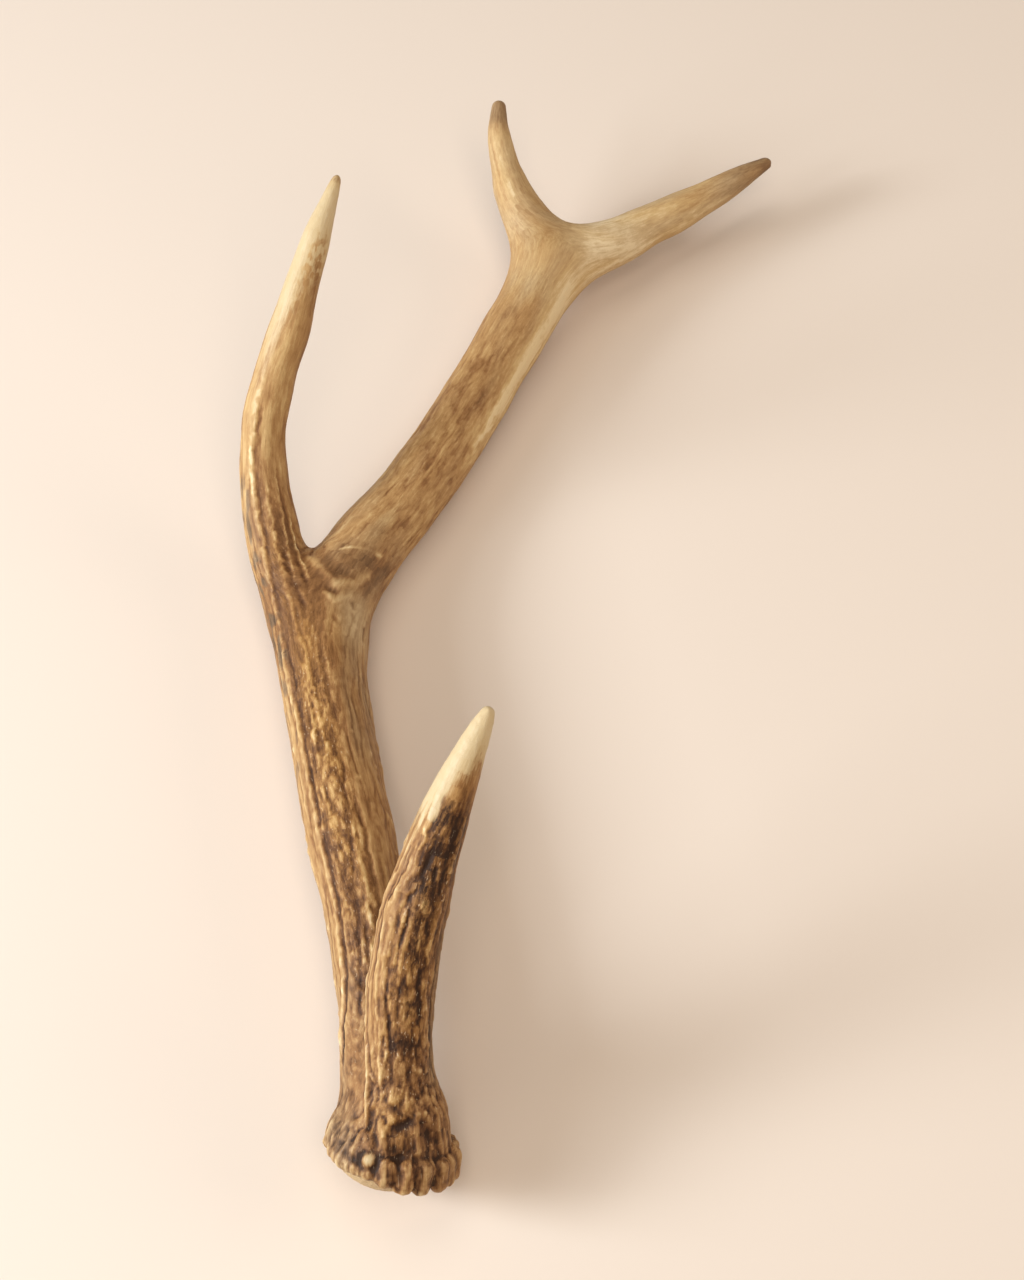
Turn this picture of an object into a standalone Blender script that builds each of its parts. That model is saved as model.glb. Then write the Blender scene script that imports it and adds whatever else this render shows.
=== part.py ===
"""Four-point deer antler lying on its side.

Metres, +Z up.  The antler rests on z = 0 on the underside of its burr and of its fork.
It is one grown body, split at its main forks by saw gaps GAP wide into six solids:
lower_beam, brow_tine, trez_tine, upper_beam, inner_tine and outer_tine.

How it is made: the tapering strands and the burr are lofted, fused into one skin, drawn
onto a smooth union of rounds so that the forks flow, given ridges, grooves and lumps that
run along each strand, thinned to a few thousand triangles and sawn at the forks.
"""
import math

import bmesh
import bpy
import numpy as np
from mathutils import Vector

MM = 0.001                      # all tables below are in millimetres

# Where the burr centre stands, so that the middle of the bounding box is the origin.
BURR_CENTRE_AT = (-45.9, -232.0, 0.0)

# Strands: x, y, z of the centre and the radius there, measured from below the burr centre.
STRANDS = {
    "beam": [
        (-1, -1, 19, 15), (-2.4, 9, 22.5, 15.8), (-4, 24, 25.3, 16.2), (-5.5, 44, 25.8, 16.2),
        (-8, 67, 26, 16.2), (-12.4, 92, 26, 16.3), (-18, 117, 25.5, 16.8), (-23.5, 143, 25, 17.1),
        (-29, 170, 24, 17.2), (-33, 193, 22.5, 17.5), (-34, 215, 20.5, 17.9),
        (-31, 238, 18.6, 17.8), (-21, 261, 16.8, 16.4), (-4.6, 286, 15.4, 15.2),
        (11, 312, 15.2, 14.8), (25.8, 340.5, 15.6, 14.4), (39.2, 367, 17.8, 14.2), (51.5, 391, 20.8, 14.9),
        (60.5, 410, 23, 14.2),
    ],
    "brow": [
        (-0.5, 1, 21, 14), (0.3, 13, 31.5, 12.8), (1.3, 25, 42, 12.5), (2, 37, 52.5, 12.3),
        (3.4, 51, 64, 12.3), (6.5, 65, 76, 12), (11, 79, 88, 11.2), (16, 91, 98, 10),
        (21.5, 102, 108, 8.4), (27, 112, 118, 6.5), (31.8, 120.2, 125.7, 4.3), (34.4, 124.6, 129.8, 2.6),
    ],
    "trez": [
        (-37, 205, 23, 13), (-46, 231, 22, 13.1), (-54.8, 256, 27, 11.7), (-59.7, 276, 36, 10.7),
        (-61, 290, 47, 9.9), (-59.5, 302, 59, 9.3), (-55.5, 313.5, 71, 8.9), (-50, 324, 83, 8.4),
        (-44.5, 335, 95, 7.5), (-39.5, 346.5, 106, 6.3), (-34.5, 358.5, 116, 4.8),
        (-30.2, 368.5, 122.2, 3.2), (-28.2, 373.2, 124.7, 2.2),
    ],
    "inner": [
        (57, 412, 24, 12), (51.8, 426, 27.5, 10.2), (46.2, 438, 31.5, 8.2), (41.9, 449, 36.5, 6.8),
        (38.9, 460, 41.5, 5.9), (37, 471, 46.8, 4.7), (37, 479.5, 51, 3.5),
    ],
    "outer": [
        (63, 407, 23, 11), (79.5, 418, 23, 10.5), (97, 429.1, 23, 9.2), (115.5, 440, 23.5, 8.9),
        (134, 451, 24.5, 7.2), (150, 461.5, 25.5, 5.3), (159.8, 468.1, 26, 3.3),
    ],
    "web": [
        (43, 446, 33, 6.4), (48, 437, 30, 7.0), (54, 428, 28, 8.0), (64, 422, 26, 8.7),
        (77, 420.0, 25, 8.5), (88, 422.4, 24, 7.6), (97, 426.5, 23.5, 6.0),
    ],
    "flange": [
        (-8.0, -4.3, 31.1, 7.8), (-12.6, 0.6, 27.9, 8.2), (-14.4, 6.1, 23.2, 8.4), (-13.0, 9.6, 19.3, 8.0),
    ],
}
SAMPLE_STEP = 5.0               # spacing of the samples along a strand
FORK_BLEND = 3.2                # softness of the joins between strands

# Burr: a flare closed below by a convex seal, ringed with knobs.
BURR_CENTRE = (-0.5, 1.0, 19.6)
BURR_AXIS = (0.25, 0.68, 0.69)  # from the seal towards the beam
BURR_FLARE = [(-4, 19.4), (0, 20.0), (4, 19.2), (9, 17.4), (15, 15.0)]   # height, radius
SEAL_DEPTH = 13.0
SEAL_RADIUS = 24.0
SEAL_SHIFT = -3.5               # the seal's lowest point lies this far to the left
SEAL_BLEND = 1.2
KNOB_BLEND = 0.8
KNOB_LEAN = 1.4                 # how much nearer the axis the upper end of a knob is

# Knobs: angle around the burr, reach from the axis, radius, height below and above the rim.
KNOBS = [
    (8, 22.8, 3.1, 2.4, 6.5), (22, 22.4, 2.5, 2.6, 5.0), (37, 22.4, 2.9, 3.2, 5.0),
    (58, 22.0, 3.4, 3.0, 5.5), (77, 21.8, 3.5, 2.4, 5.0), (96, 22.0, 3.0, 1.4, 4.6),
    (112, 22.0, 1.9, 0.4, 1.6), (115, 21.4, 2.4, -3.8, 5.0), (124, 22.4, 2.0, 0.6, 1.6),
    (133, 22.6, 1.8, 0.8, 1.4), (142, 22.8, 2.1, 1.0, 1.6), (151, 22.9, 1.9, 1.6, 1.6),
    (161, 23.6, 2.2, 2.0, 4.0), (175, 24.2, 2.4, 1.6, 6.5), (189, 24.0, 2.4, 2.0, 7.5),
    (203, 22.6, 2.6, 2.6, 4.0), (219, 22.8, 2.9, 2.8, 4.5), (234, 23.2, 2.6, 2.8, 4.0),
    (247, 22.9, 2.5, 3.0, 4.5), (262, 21.4, 2.3, 2.4, 4.0), (277, 21.4, 2.3, 2.6, 4.0),
    (292, 22.3, 2.6, 3.0, 4.5), (307, 22.5, 2.5, 2.8, 4.0), (321, 22.8, 2.5, 2.8, 4.5),
    (335, 23.0, 2.7, 2.6, 5.5), (349, 23.4, 2.5, 2.6, 6.5),
]

# Relief along a strand: distance from its start, depth of the ridges there.
RIDGE_DEPTH = {
    "beam": [(0, 0.5), (25, 1.0), (200, 1.1), (270, 0.9), (330, 0.6), (400, 0.4), (480, 0.2)],
    "brow": [(0, 0.6), (30, 1.1), (110, 1.0), (135, 0.5), (150, 0.1), (175, 0.0)],
    "trez": [(0, 0.9), (70, 1.0), (110, 0.6), (140, 0.2), (170, 0.0)],
    "inner": [(0, 0.2), (40, 0.2), (80, 0.0)],
    "outer": [(0, 0.3), (60, 0.3), (110, 0.0)],
    "web": [(0, 0.1), (60, 0.1)],
    "flange": [(0, 0.3), (30, 0.3)],
}
RIDGE_WIDTH = 4.2               # size of a ridge across the strand
RIDGE_STRETCH = 9.0             # how many times longer than wide a ridge is
GROOVE_SHARPNESS = 6.0
HOLLOW_AT = (-8.0, 280.0)       # the underside is hollow here, so the beam touches on either side
HOLLOW_DEPTH = 2.0
HOLLOW_RADIUS = 26.0
HOLLOW_HEIGHT = 10.0            # the hollow fades out this far above the rest
LUMP_SIZE = 21.0
LUMP_HEIGHT = 0.9
NOISE_SEED = 11

# Saw cuts at the forks: point on the strand, direction of the cut, radius of the blade.
CUTS = {
    "brow_tine": ((2.9, 43.5, 57.8), (0.05, 0.76, 0.65), 20.0),
    "trez_tine": ((-57.6, 264.0, 30.0), (-0.24, 0.91, 0.34), 18.0),
    "upper_beam": ((-21.0, 265.0, 16.9), (0.45, 0.89, 0.0), 24.0),
    "inner_tine": ((52.4, 431.0, 29.0), (-0.42, 0.84, 0.34), 16.5),
    "outer_tine": ((86.0, 423.2, 23.0), (0.82, 0.57, 0.0), 17.5),
}
GAP = 0.3
BLADE_SIDES = 24

# Where each piece is hung and a place on it by which it is known.
PARENTS = {
    "lower_beam": None, "brow_tine": "lower_beam", "trez_tine": "lower_beam",
    "upper_beam": "lower_beam", "inner_tine": "upper_beam", "outer_tine": "upper_beam",
}
LANDMARKS = {
    "lower_beam": (-18, 117, 24), "brow_tine": (34, 124, 130), "trez_tine": (-28, 373, 125),
    "upper_beam": (26, 340, 17), "inner_tine": (37, 481, 52), "outer_tine": (160, 468, 26),
}

# Colour (linear) and roughness of each piece.
FINISHES = {
    "lower_beam": ((0.40, 0.215, 0.092), 0.52),
    "brow_tine": ((0.30, 0.155, 0.07), 0.45),
    "trez_tine": ((0.50, 0.30, 0.135), 0.45),
    "upper_beam": ((0.41, 0.235, 0.105), 0.52),
    "inner_tine": ((0.56, 0.38, 0.185), 0.48),
    "outer_tine": ((0.53, 0.365, 0.19), 0.50),
}

LOFT_SIDES = 20
ROUGH_VOXEL = 1.6               # first skin, only to find the forks
SKIN_VOXEL = 1.25               # second skin, which takes the relief
DRAW_STEPS = 6                  # steps that draw the skin onto the rounds
TARGET_TRIANGLES = 8500
SHARP_EDGE = math.radians(50)
CURVE_SPANS = (((0, 1), (1, 2), (2, 3)), ((0, 2), (1, 3)), ((1, 2),))   # of the blending
SOFTENING_ROUNDS = 2


# ---------------------------------------------------------------- strands and their field

def smooth_curve(stations):
    """Centripetal curve through the stations, sampled about every SAMPLE_STEP."""
    rows = np.asarray(stations, float)
    first = 2 * rows[0] - rows[1]
    last = 2 * rows[-1] - rows[-2]
    rows = np.vstack([first, rows, last])
    samples = []
    for before, start, end, after in zip(rows, rows[1:], rows[2:], rows[3:]):
        knots = [0.0]
        for one, two in ((before, start), (start, end), (end, after)):
            knots.append(knots[-1] + math.sqrt(np.linalg.norm((two - one)[:3])))
        count = max(2, round(np.linalg.norm((end - start)[:3]) / SAMPLE_STEP))
        for t in np.linspace(knots[1], knots[2], count, endpoint=False):
            samples.append(curve_point((before, start, end, after), knots, t))
    samples.append(rows[-2])
    return np.array(samples)


def curve_point(rows, knots, t):
    """One point of the curve, by repeated blending between neighbouring rows."""
    level = list(rows)
    for spans in CURVE_SPANS:
        shares = [(t - knots[low]) / (knots[high] - knots[low]) for low, high in spans]
        pairs = zip(shares, level, level[1:])
        level = [(1 - share) * one + share * two for share, one, two in pairs]
    return level[0]


def unit(vector):
    """The vector at length one."""
    vector = np.asarray(vector, float)
    return vector / np.linalg.norm(vector)


def carried_frames(centres):
    """Two directions across the strand at every sample, carried along without twist."""
    tangents = np.gradient(centres, axis=0)
    tangents /= np.linalg.norm(tangents, axis=1)[:, None]
    side = unit(np.cross(tangents[0], (1.0, 0.3, 0.2)))
    sides = []
    for tangent in tangents:
        side = unit(side - tangent * (side @ tangent))
        sides.append(side)
    sides = np.array(sides)
    return sides, np.cross(tangents, sides)


class Strand:
    """A tapering round rod along a curve, with coordinates along and across it."""

    def __init__(self, stations):
        samples = smooth_curve(stations)
        self.centres = samples[:, :3]
        self.radii = samples[:, 3]
        steps = np.diff(self.centres, axis=0)
        self.lengths = np.linalg.norm(steps, axis=1)
        self.steps = steps
        self.travel = np.concatenate([[0.0], np.cumsum(self.lengths)])
        self.sides, self.ups = carried_frames(self.centres)

    def nearest(self, points):
        """For each point: the segment it is nearest to and how far along it."""
        best = np.full(len(points), np.inf)
        segment = np.zeros(len(points), int)
        share = np.zeros(len(points))
        for i, step in enumerate(self.steps):
            offset = points - self.centres[i]
            along = np.clip(offset @ step / self.lengths[i] ** 2, 0.0, 1.0)
            gap = np.linalg.norm(offset - along[:, None] * step, axis=1)
            gap -= self.radii[i] * (1 - along) + self.radii[i + 1] * along
            closer = gap < best
            best[closer] = gap[closer]
            segment[closer] = i
            share[closer] = along[closer]
        return best, segment, share

    def field(self, points):
        """Distance outside the rod and the direction away from its middle."""
        gap, segment, share = self.nearest(points)
        away = points - self.centres[segment] - share[:, None] * self.steps[segment]
        away /= np.linalg.norm(away, axis=1)[:, None] + 1e-9
        return gap, away

    def coordinates(self, points):
        """Across (two directions) and along the rod, for points near its skin."""
        _, segment, share = self.nearest(points)
        away = points - self.centres[segment] - share[:, None] * self.steps[segment]
        across = np.einsum("ij,ij->i", away, self.sides[segment])
        upward = np.einsum("ij,ij->i", away, self.ups[segment])
        along = self.travel[segment] + share * self.lengths[segment]
        return np.stack([across, upward, along], axis=1)


def burr_directions():
    """The burr's axis and two directions in the plane of its rim."""
    axis = unit(BURR_AXIS)
    right = np.array([1.0, 0.0, 0.0])
    right = unit(right - axis * (right @ axis))
    return axis, right, np.cross(right, axis)


def burr_flare():
    """The flare as a short strand along the burr's axis."""
    axis = burr_directions()[0]
    centre = np.array(BURR_CENTRE)
    return [(*(centre + axis * height), radius) for height, radius in BURR_FLARE]


def knob_ends():
    """Lower end, upper end and radius of every knob of the burr."""
    axis, right, front = burr_directions()
    knobs = []
    for angle, reach, radius, below, above in KNOBS:
        turn = math.radians(angle)
        outward = math.cos(turn) * right + math.sin(turn) * front
        rim = np.array(BURR_CENTRE) + outward * reach
        low = rim - axis * (below - radius * 0.5)
        high = rim + axis * above - outward * KNOB_LEAN
        knobs.append((low, high, radius))
    return knobs


def rounds_union(fields, softness):
    """Smooth union of several fields: each a distance and a direction."""
    gaps = np.array([field[0] for field in fields])
    ways = np.array([field[1] for field in fields])
    least = gaps.min(axis=0)
    shares = np.exp((least - gaps) / softness)
    total = shares.sum(axis=0)
    way = np.einsum("ki,kij->ij", shares, ways) / total[:, None]
    return least - softness * np.log(total), way


def seal_field(points):
    """Distance below the convex seal that closes the burr."""
    axis, right, _ = burr_directions()
    offset = points - np.array(BURR_CENTRE) - SEAL_SHIFT * right
    height = offset @ axis
    outward = offset - height[:, None] * axis
    reach = np.linalg.norm(outward, axis=1)
    depth = SEAL_DEPTH * (1 - np.minimum(reach / SEAL_RADIUS, 1.2) ** 2)
    return -(height + depth), np.repeat(-axis[None, :], len(points), axis=0)


def knob_field(points):
    """Distance to the nearest knobs, which run into each other only a little."""
    fields = []
    for low, high, radius in knob_ends():
        span = high - low
        along = np.clip((points - low) @ span / (span @ span), 0.0, 1.0)
        away = points - low - along[:, None] * span
        gap = np.linalg.norm(away, axis=1)
        fields.append((gap - radius, away / (gap[:, None] + 1e-9)))
    return rounds_union(fields, KNOB_BLEND)


def antler_field(points, strands):
    """Distance outside the whole antler and the direction away from it."""
    body = rounds_union([strand.field(points) for strand in strands], FORK_BLEND)
    cut = seal_field(points)
    inside_out = [(-body[0], -body[1]), (-cut[0], -cut[1])]
    closed = rounds_union(inside_out, SEAL_BLEND)
    closed = (-closed[0], -closed[1])
    return rounds_union([closed, knob_field(points)], KNOB_BLEND)


def draw_onto_rounds(points, strands):
    """Move points onto the surface where the antler's field is nought."""
    for _ in range(DRAW_STEPS):
        gap, way = antler_field(points, strands)
        steepness = np.maximum(np.einsum("ij,ij->i", way, way), 0.2)
        points = points - way * (gap / steepness)[:, None]
    return points


# ---------------------------------------------------------------- relief

class Waves:
    """Seeded smooth noise in three directions, between about -1 and 1."""

    def __init__(self, seed):
        source = np.random.default_rng(seed)
        self.table = source.permutation(256)
        slopes = source.normal(size=(256, 3))
        self.slopes = slopes / np.linalg.norm(slopes, axis=1)[:, None]

    def corner(self, cell, offset, shift):
        """Share of one corner of the lattice cell."""
        index = self.table[(cell[:, 0] + shift[0]) & 255]
        index = self.table[(index + cell[:, 1] + shift[1]) & 255]
        index = self.table[(index + cell[:, 2] + shift[2]) & 255]
        return np.einsum("ij,ij->i", self.slopes[index], offset - shift)

    def at(self, points):
        """Noise at the points."""
        cell = np.floor(points).astype(int)
        offset = points - cell
        ease = offset ** 3 * (offset * (offset * 6 - 15) + 10)
        total = np.zeros(len(points))
        for x in (0, 1):
            for y in (0, 1):
                for z in (0, 1):
                    shift = np.array([x, y, z])
                    weight = np.prod(np.where(shift, ease, 1 - ease), axis=1)
                    total += weight * self.corner(cell, offset, shift)
        return total * 1.6


def strand_relief(name, strand, points, waves):
    """Height of the ridges and grooves that run along one strand."""
    place = strand.coordinates(points)
    distances, depths = zip(*RIDGE_DEPTH[name])
    depth = np.interp(place[:, 2], distances, depths)
    stretched = place / (RIDGE_WIDTH, RIDGE_WIDTH, RIDGE_WIDTH * RIDGE_STRETCH)
    wave = waves.at(stretched + len(name) * 7.3)
    groove = np.exp(-(wave * GROOVE_SHARPNESS) ** 2)
    return depth * (0.35 * (1 - groove) + 0.8 * np.abs(wave) - 0.45)


def relief(points, bodies, waves):
    """Height of the whole relief, shared between the strands near each point."""
    names = list(STRANDS)
    gaps = np.array([bodies[name].field(points)[0] for name in names])
    shares = np.exp((gaps.min(axis=0) - gaps) / FORK_BLEND)
    shares /= shares.sum(axis=0)
    height = LUMP_HEIGHT * waves.at(points / LUMP_SIZE)
    for share, name in zip(shares, names):
        height = height + share * strand_relief(name, bodies[name], points, waves)
    return height * rest_mask(points) - hollow(points)


def hollow(points):
    """Depth of the shallow hollow between the two places where the beam touches its rest."""
    away = np.hypot(points[:, 0] - HOLLOW_AT[0], points[:, 1] - HOLLOW_AT[1])
    low = np.clip(1 - points[:, 2] / HOLLOW_HEIGHT, 0.0, 1.0)
    return HOLLOW_DEPTH * low * np.exp(-(away / HOLLOW_RADIUS) ** 2)


def rest_mask(points):
    """Nought where the antler touches its rest and on the seal, one elsewhere."""
    above = np.clip(points[:, 2] / 6.0, 0.25, 1.0)
    depth = np.clip(1 + (-seal_field(points)[0]) / 5.0, 0.0, 1.0)
    return above * np.minimum(1.0, depth + 0.2)


# ---------------------------------------------------------------- meshes

def mesh_points(mesh):
    """Vertex positions of a mesh as an array."""
    flat = np.empty(len(mesh.vertices) * 3)
    mesh.vertices.foreach_get("co", flat)
    return flat.reshape(-1, 3)


def move_mesh_points(mesh, points):
    """Write vertex positions back to a mesh."""
    mesh.vertices.foreach_set("co", points.ravel())
    mesh.update()


def add_loft(solid, strand):
    """Closed tube along a strand."""
    rings = []
    for centre, side, up, radius in zip(strand.centres, strand.sides, strand.ups, strand.radii):
        ring = []
        for k in range(LOFT_SIDES):
            turn = 2 * math.pi * k / LOFT_SIDES
            spot = centre + radius * (math.cos(turn) * side + math.sin(turn) * up)
            ring.append(solid.verts.new(spot))
        rings.append(ring)
    for lower, upper in zip(rings, rings[1:]):
        for k in range(LOFT_SIDES):
            after = (k + 1) % LOFT_SIDES
            solid.faces.new((lower[k], lower[after], upper[after], upper[k]))
    solid.faces.new(reversed(rings[0]))
    solid.faces.new(rings[-1])


def add_ball(solid, centre, radius):
    """Ball that rounds off a tine or stands for part of a knob."""
    made = bmesh.ops.create_icosphere(solid, subdivisions=2, radius=radius)
    bmesh.ops.translate(solid, verts=made["verts"], vec=Vector(centre))


def with_modifier(mesh, kind, **settings):
    """The mesh after one modifier of the given kind."""
    carrier = bpy.data.objects.new("carrier", mesh)
    bpy.context.scene.collection.objects.link(carrier)
    modifier = carrier.modifiers.new(kind.lower(), kind)
    for key, value in settings.items():
        setattr(modifier, key, value)
    graph = bpy.context.evaluated_depsgraph_get()
    result = bpy.data.meshes.new_from_object(carrier.evaluated_get(graph))
    bpy.data.objects.remove(carrier)
    return result


def rough_skin(bodies):
    """Lofts, rounded ends and knobs fused into one closed skin."""
    solid = bmesh.new()
    for body in bodies.values():
        add_loft(solid, body)
        add_ball(solid, body.centres[-1], body.radii[-1])
    for low, high, radius in knob_ends():
        for spot in (low, (low + high) / 2, high):
            add_ball(solid, spot, radius)
    mesh = bpy.data.meshes.new("lofts")
    solid.to_mesh(mesh)
    solid.free()
    return with_modifier(mesh, "REMESH", mode="VOXEL", voxel_size=ROUGH_VOXEL)


def soften(mesh):
    """Even out the skin's vertices a little."""
    return with_modifier(mesh, "SMOOTH", factor=0.5, iterations=SOFTENING_ROUNDS)


def antler_skin(bodies):
    """The closed skin of the whole antler, with its relief."""
    strands = list(bodies.values())
    skin = rough_skin(bodies)
    move_mesh_points(skin, draw_onto_rounds(mesh_points(skin), strands))
    skin = with_modifier(skin, "REMESH", mode="VOXEL", voxel_size=SKIN_VOXEL)
    skin = soften(skin)
    points = draw_onto_rounds(mesh_points(skin), strands)
    _, way = antler_field(points, strands)
    way /= np.linalg.norm(way, axis=1)[:, None] + 1e-9
    named = {name: bodies[name] for name in STRANDS}
    height = relief(points, named, Waves(NOISE_SEED))
    move_mesh_points(skin, points + way * height[:, None])
    return thinned(skin)


def thinned(mesh):
    """The skin reduced to about TARGET_TRIANGLES, which follow the ridges."""
    triangles = sum(len(face.vertices) - 2 for face in mesh.polygons)
    return with_modifier(mesh, "DECIMATE", ratio=TARGET_TRIANGLES / triangles)


# ---------------------------------------------------------------- sawing and placing

def blade(centre, direction, radius):
    """A thin round plate to saw with."""
    solid = bmesh.new()
    bmesh.ops.create_cone(
        solid, cap_ends=True, segments=BLADE_SIDES, radius1=radius, radius2=radius, depth=GAP
    )
    turn = Vector(direction).to_track_quat("Z", "Y")
    bmesh.ops.rotate(solid, verts=solid.verts, matrix=turn.to_matrix())
    bmesh.ops.translate(solid, verts=solid.verts, vec=Vector(centre))
    mesh = bpy.data.meshes.new("blade")
    solid.to_mesh(mesh)
    solid.free()
    cutter = bpy.data.objects.new("blade", mesh)
    cutter.hide_render = True
    cutter.display_type = "WIRE"
    bpy.context.scene.collection.objects.link(cutter)
    return cutter


def sawn(mesh):
    """The skin cut through at every fork."""
    for centre, direction, radius in CUTS.values():
        cutter = blade(centre, direction, radius)
        mesh = with_modifier(mesh, "BOOLEAN", operation="DIFFERENCE", solver="EXACT", object=cutter)
        bpy.data.objects.remove(cutter)
    return mesh


def islands(solid):
    """Groups of connected vertices."""
    waiting = set(solid.verts)
    groups = []
    while waiting:
        edge_of_search = [waiting.pop()]
        group = set(edge_of_search)
        while edge_of_search:
            vertex = edge_of_search.pop()
            for edge in vertex.link_edges:
                other = edge.other_vert(vertex)
                if other not in group:
                    group.add(other)
                    edge_of_search.append(other)
        waiting -= group
        groups.append(group)
    return groups


def piece_mesh(sawn_mesh, name):
    """Only the body of the sawn antler that has the piece's landmark."""
    solid = bmesh.new()
    solid.from_mesh(sawn_mesh)
    landmark = Vector(LANDMARKS[name])
    groups = islands(solid)
    nearest = [min((vertex.co - landmark).length for vertex in group) for group in groups]
    kept = groups[nearest.index(min(nearest))]
    others = [vertex for vertex in solid.verts if vertex not in kept]
    bmesh.ops.delete(solid, geom=others, context="VERTS")
    bmesh.ops.triangulate(solid, faces=solid.faces)
    pivot = Vector(pivot_of(name))
    bmesh.ops.translate(solid, verts=solid.verts, vec=-pivot)
    bmesh.ops.scale(solid, verts=solid.verts, vec=(MM, MM, MM))
    mesh = bpy.data.meshes.new(name)
    solid.to_mesh(mesh)
    solid.free()
    return mesh


def pivot_of(name):
    """Where a piece is hung: the middle of its cut, or under the burr for the beam."""
    return CUTS[name][0] if name in CUTS else (0.0, 0.0, 0.0)


def finish(name):
    """Bone-like material of one piece."""
    colour, roughness = FINISHES[name]
    material = bpy.data.materials.new(name + "_antler")
    material.use_nodes = True
    shader = material.node_tree.nodes["Principled BSDF"]
    shader.inputs["Base Color"].default_value = (*colour, 1.0)
    shader.inputs["Roughness"].default_value = roughness
    shader.inputs["Metallic"].default_value = 0.0
    return material


def place(name, mesh, placed):
    """Put one piece into the scene, hung from its neighbour."""
    piece = bpy.data.objects.new(name, mesh)
    bpy.context.scene.collection.objects.link(piece)
    mesh.polygons.foreach_set("use_smooth", [True] * len(mesh.polygons))
    mesh.set_sharp_from_angle(angle=SHARP_EDGE)
    mesh.materials.append(finish(name))
    parent = PARENTS[name]
    home = Vector(pivot_of(name))
    if parent is None:
        piece.location = (home + Vector(BURR_CENTRE_AT)) * MM
    else:
        piece.parent = placed[parent]
        piece.location = (home - Vector(pivot_of(parent))) * MM
    return piece


def main():
    for old in list(bpy.data.objects):
        bpy.data.objects.remove(old)
    bodies = {name: Strand(stations) for name, stations in STRANDS.items()}
    bodies["flare"] = Strand(burr_flare())
    whole = sawn(antler_skin(bodies))
    placed = {}
    for name in PARENTS:
        placed[name] = place(name, piece_mesh(whole, name), placed)


main()
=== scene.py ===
# %% [markdown]
# # Dressing a deer antler
# A shed antler is one piece of bone-like stuff that grew along a few branches. Its skin
# flows over the forks, carries long ridges and grooves where blood vessels ran, is beaded
# round the burr at its foot, and is rubbed smooth and pale at the points. This lesson
# loads the plain solids as a frame and dresses each of them with a finely shaped skin and
# a finish. Everything below is worked out in millimetres and turned into metres at the end.

# %% Load the frame and keep its box
import math

import bmesh
import bpy
import numpy as np
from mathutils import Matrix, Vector


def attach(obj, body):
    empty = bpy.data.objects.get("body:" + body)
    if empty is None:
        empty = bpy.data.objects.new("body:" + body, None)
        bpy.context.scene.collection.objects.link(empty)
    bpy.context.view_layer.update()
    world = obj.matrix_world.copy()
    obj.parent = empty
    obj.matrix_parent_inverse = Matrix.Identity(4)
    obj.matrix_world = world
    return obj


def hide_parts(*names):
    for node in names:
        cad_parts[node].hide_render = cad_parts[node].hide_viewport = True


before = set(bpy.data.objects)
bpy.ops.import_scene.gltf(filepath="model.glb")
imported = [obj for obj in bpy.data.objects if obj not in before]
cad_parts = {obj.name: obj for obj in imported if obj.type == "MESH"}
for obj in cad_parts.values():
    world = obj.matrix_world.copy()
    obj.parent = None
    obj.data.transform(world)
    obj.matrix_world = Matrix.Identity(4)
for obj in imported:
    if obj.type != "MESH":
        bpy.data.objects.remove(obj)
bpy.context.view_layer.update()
MM = 0.001
print("nodes:", sorted(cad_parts))

# %% [markdown]
# ## Camera
# The antler was seen from well above its foot, looking along its length and down by sixty
# degrees, through a longish lens. A camera object is turned about X only, so upright stays
# upright, and is put where the foot falls low in the frame.

# %% The camera
VIEW_DOWN = math.radians(60)
CAMERA_AT = (-2.9 * MM, -508.3 * MM, 875.8 * MM)
LENS = 67.5                      # on a film 36 mm tall


def add_object(name, data):
    """A new object in the scene."""
    made = bpy.data.objects.new(name, data)
    bpy.context.scene.collection.objects.link(made)
    return made


lens = bpy.data.cameras.new("photo_camera")
lens.lens = LENS
lens.sensor_width = 36.0
camera = add_object("photo_camera", lens)
camera.location = CAMERA_AT
camera.rotation_euler = (math.pi / 2 - VIEW_DOWN, 0.0, 0.0)
bpy.context.scene.camera = camera
bpy.context.scene.view_settings.view_transform = "Standard"
print("camera at", [round(c, 3) for c in CAMERA_AT])

# %% [markdown]
# ## Branches
# Each branch is a curve with a thickness, given by a few stations. A smooth curve through
# the stations gives samples every few millimetres. The same stations shape the solids, so
# this skin lies where they lie.

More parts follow.
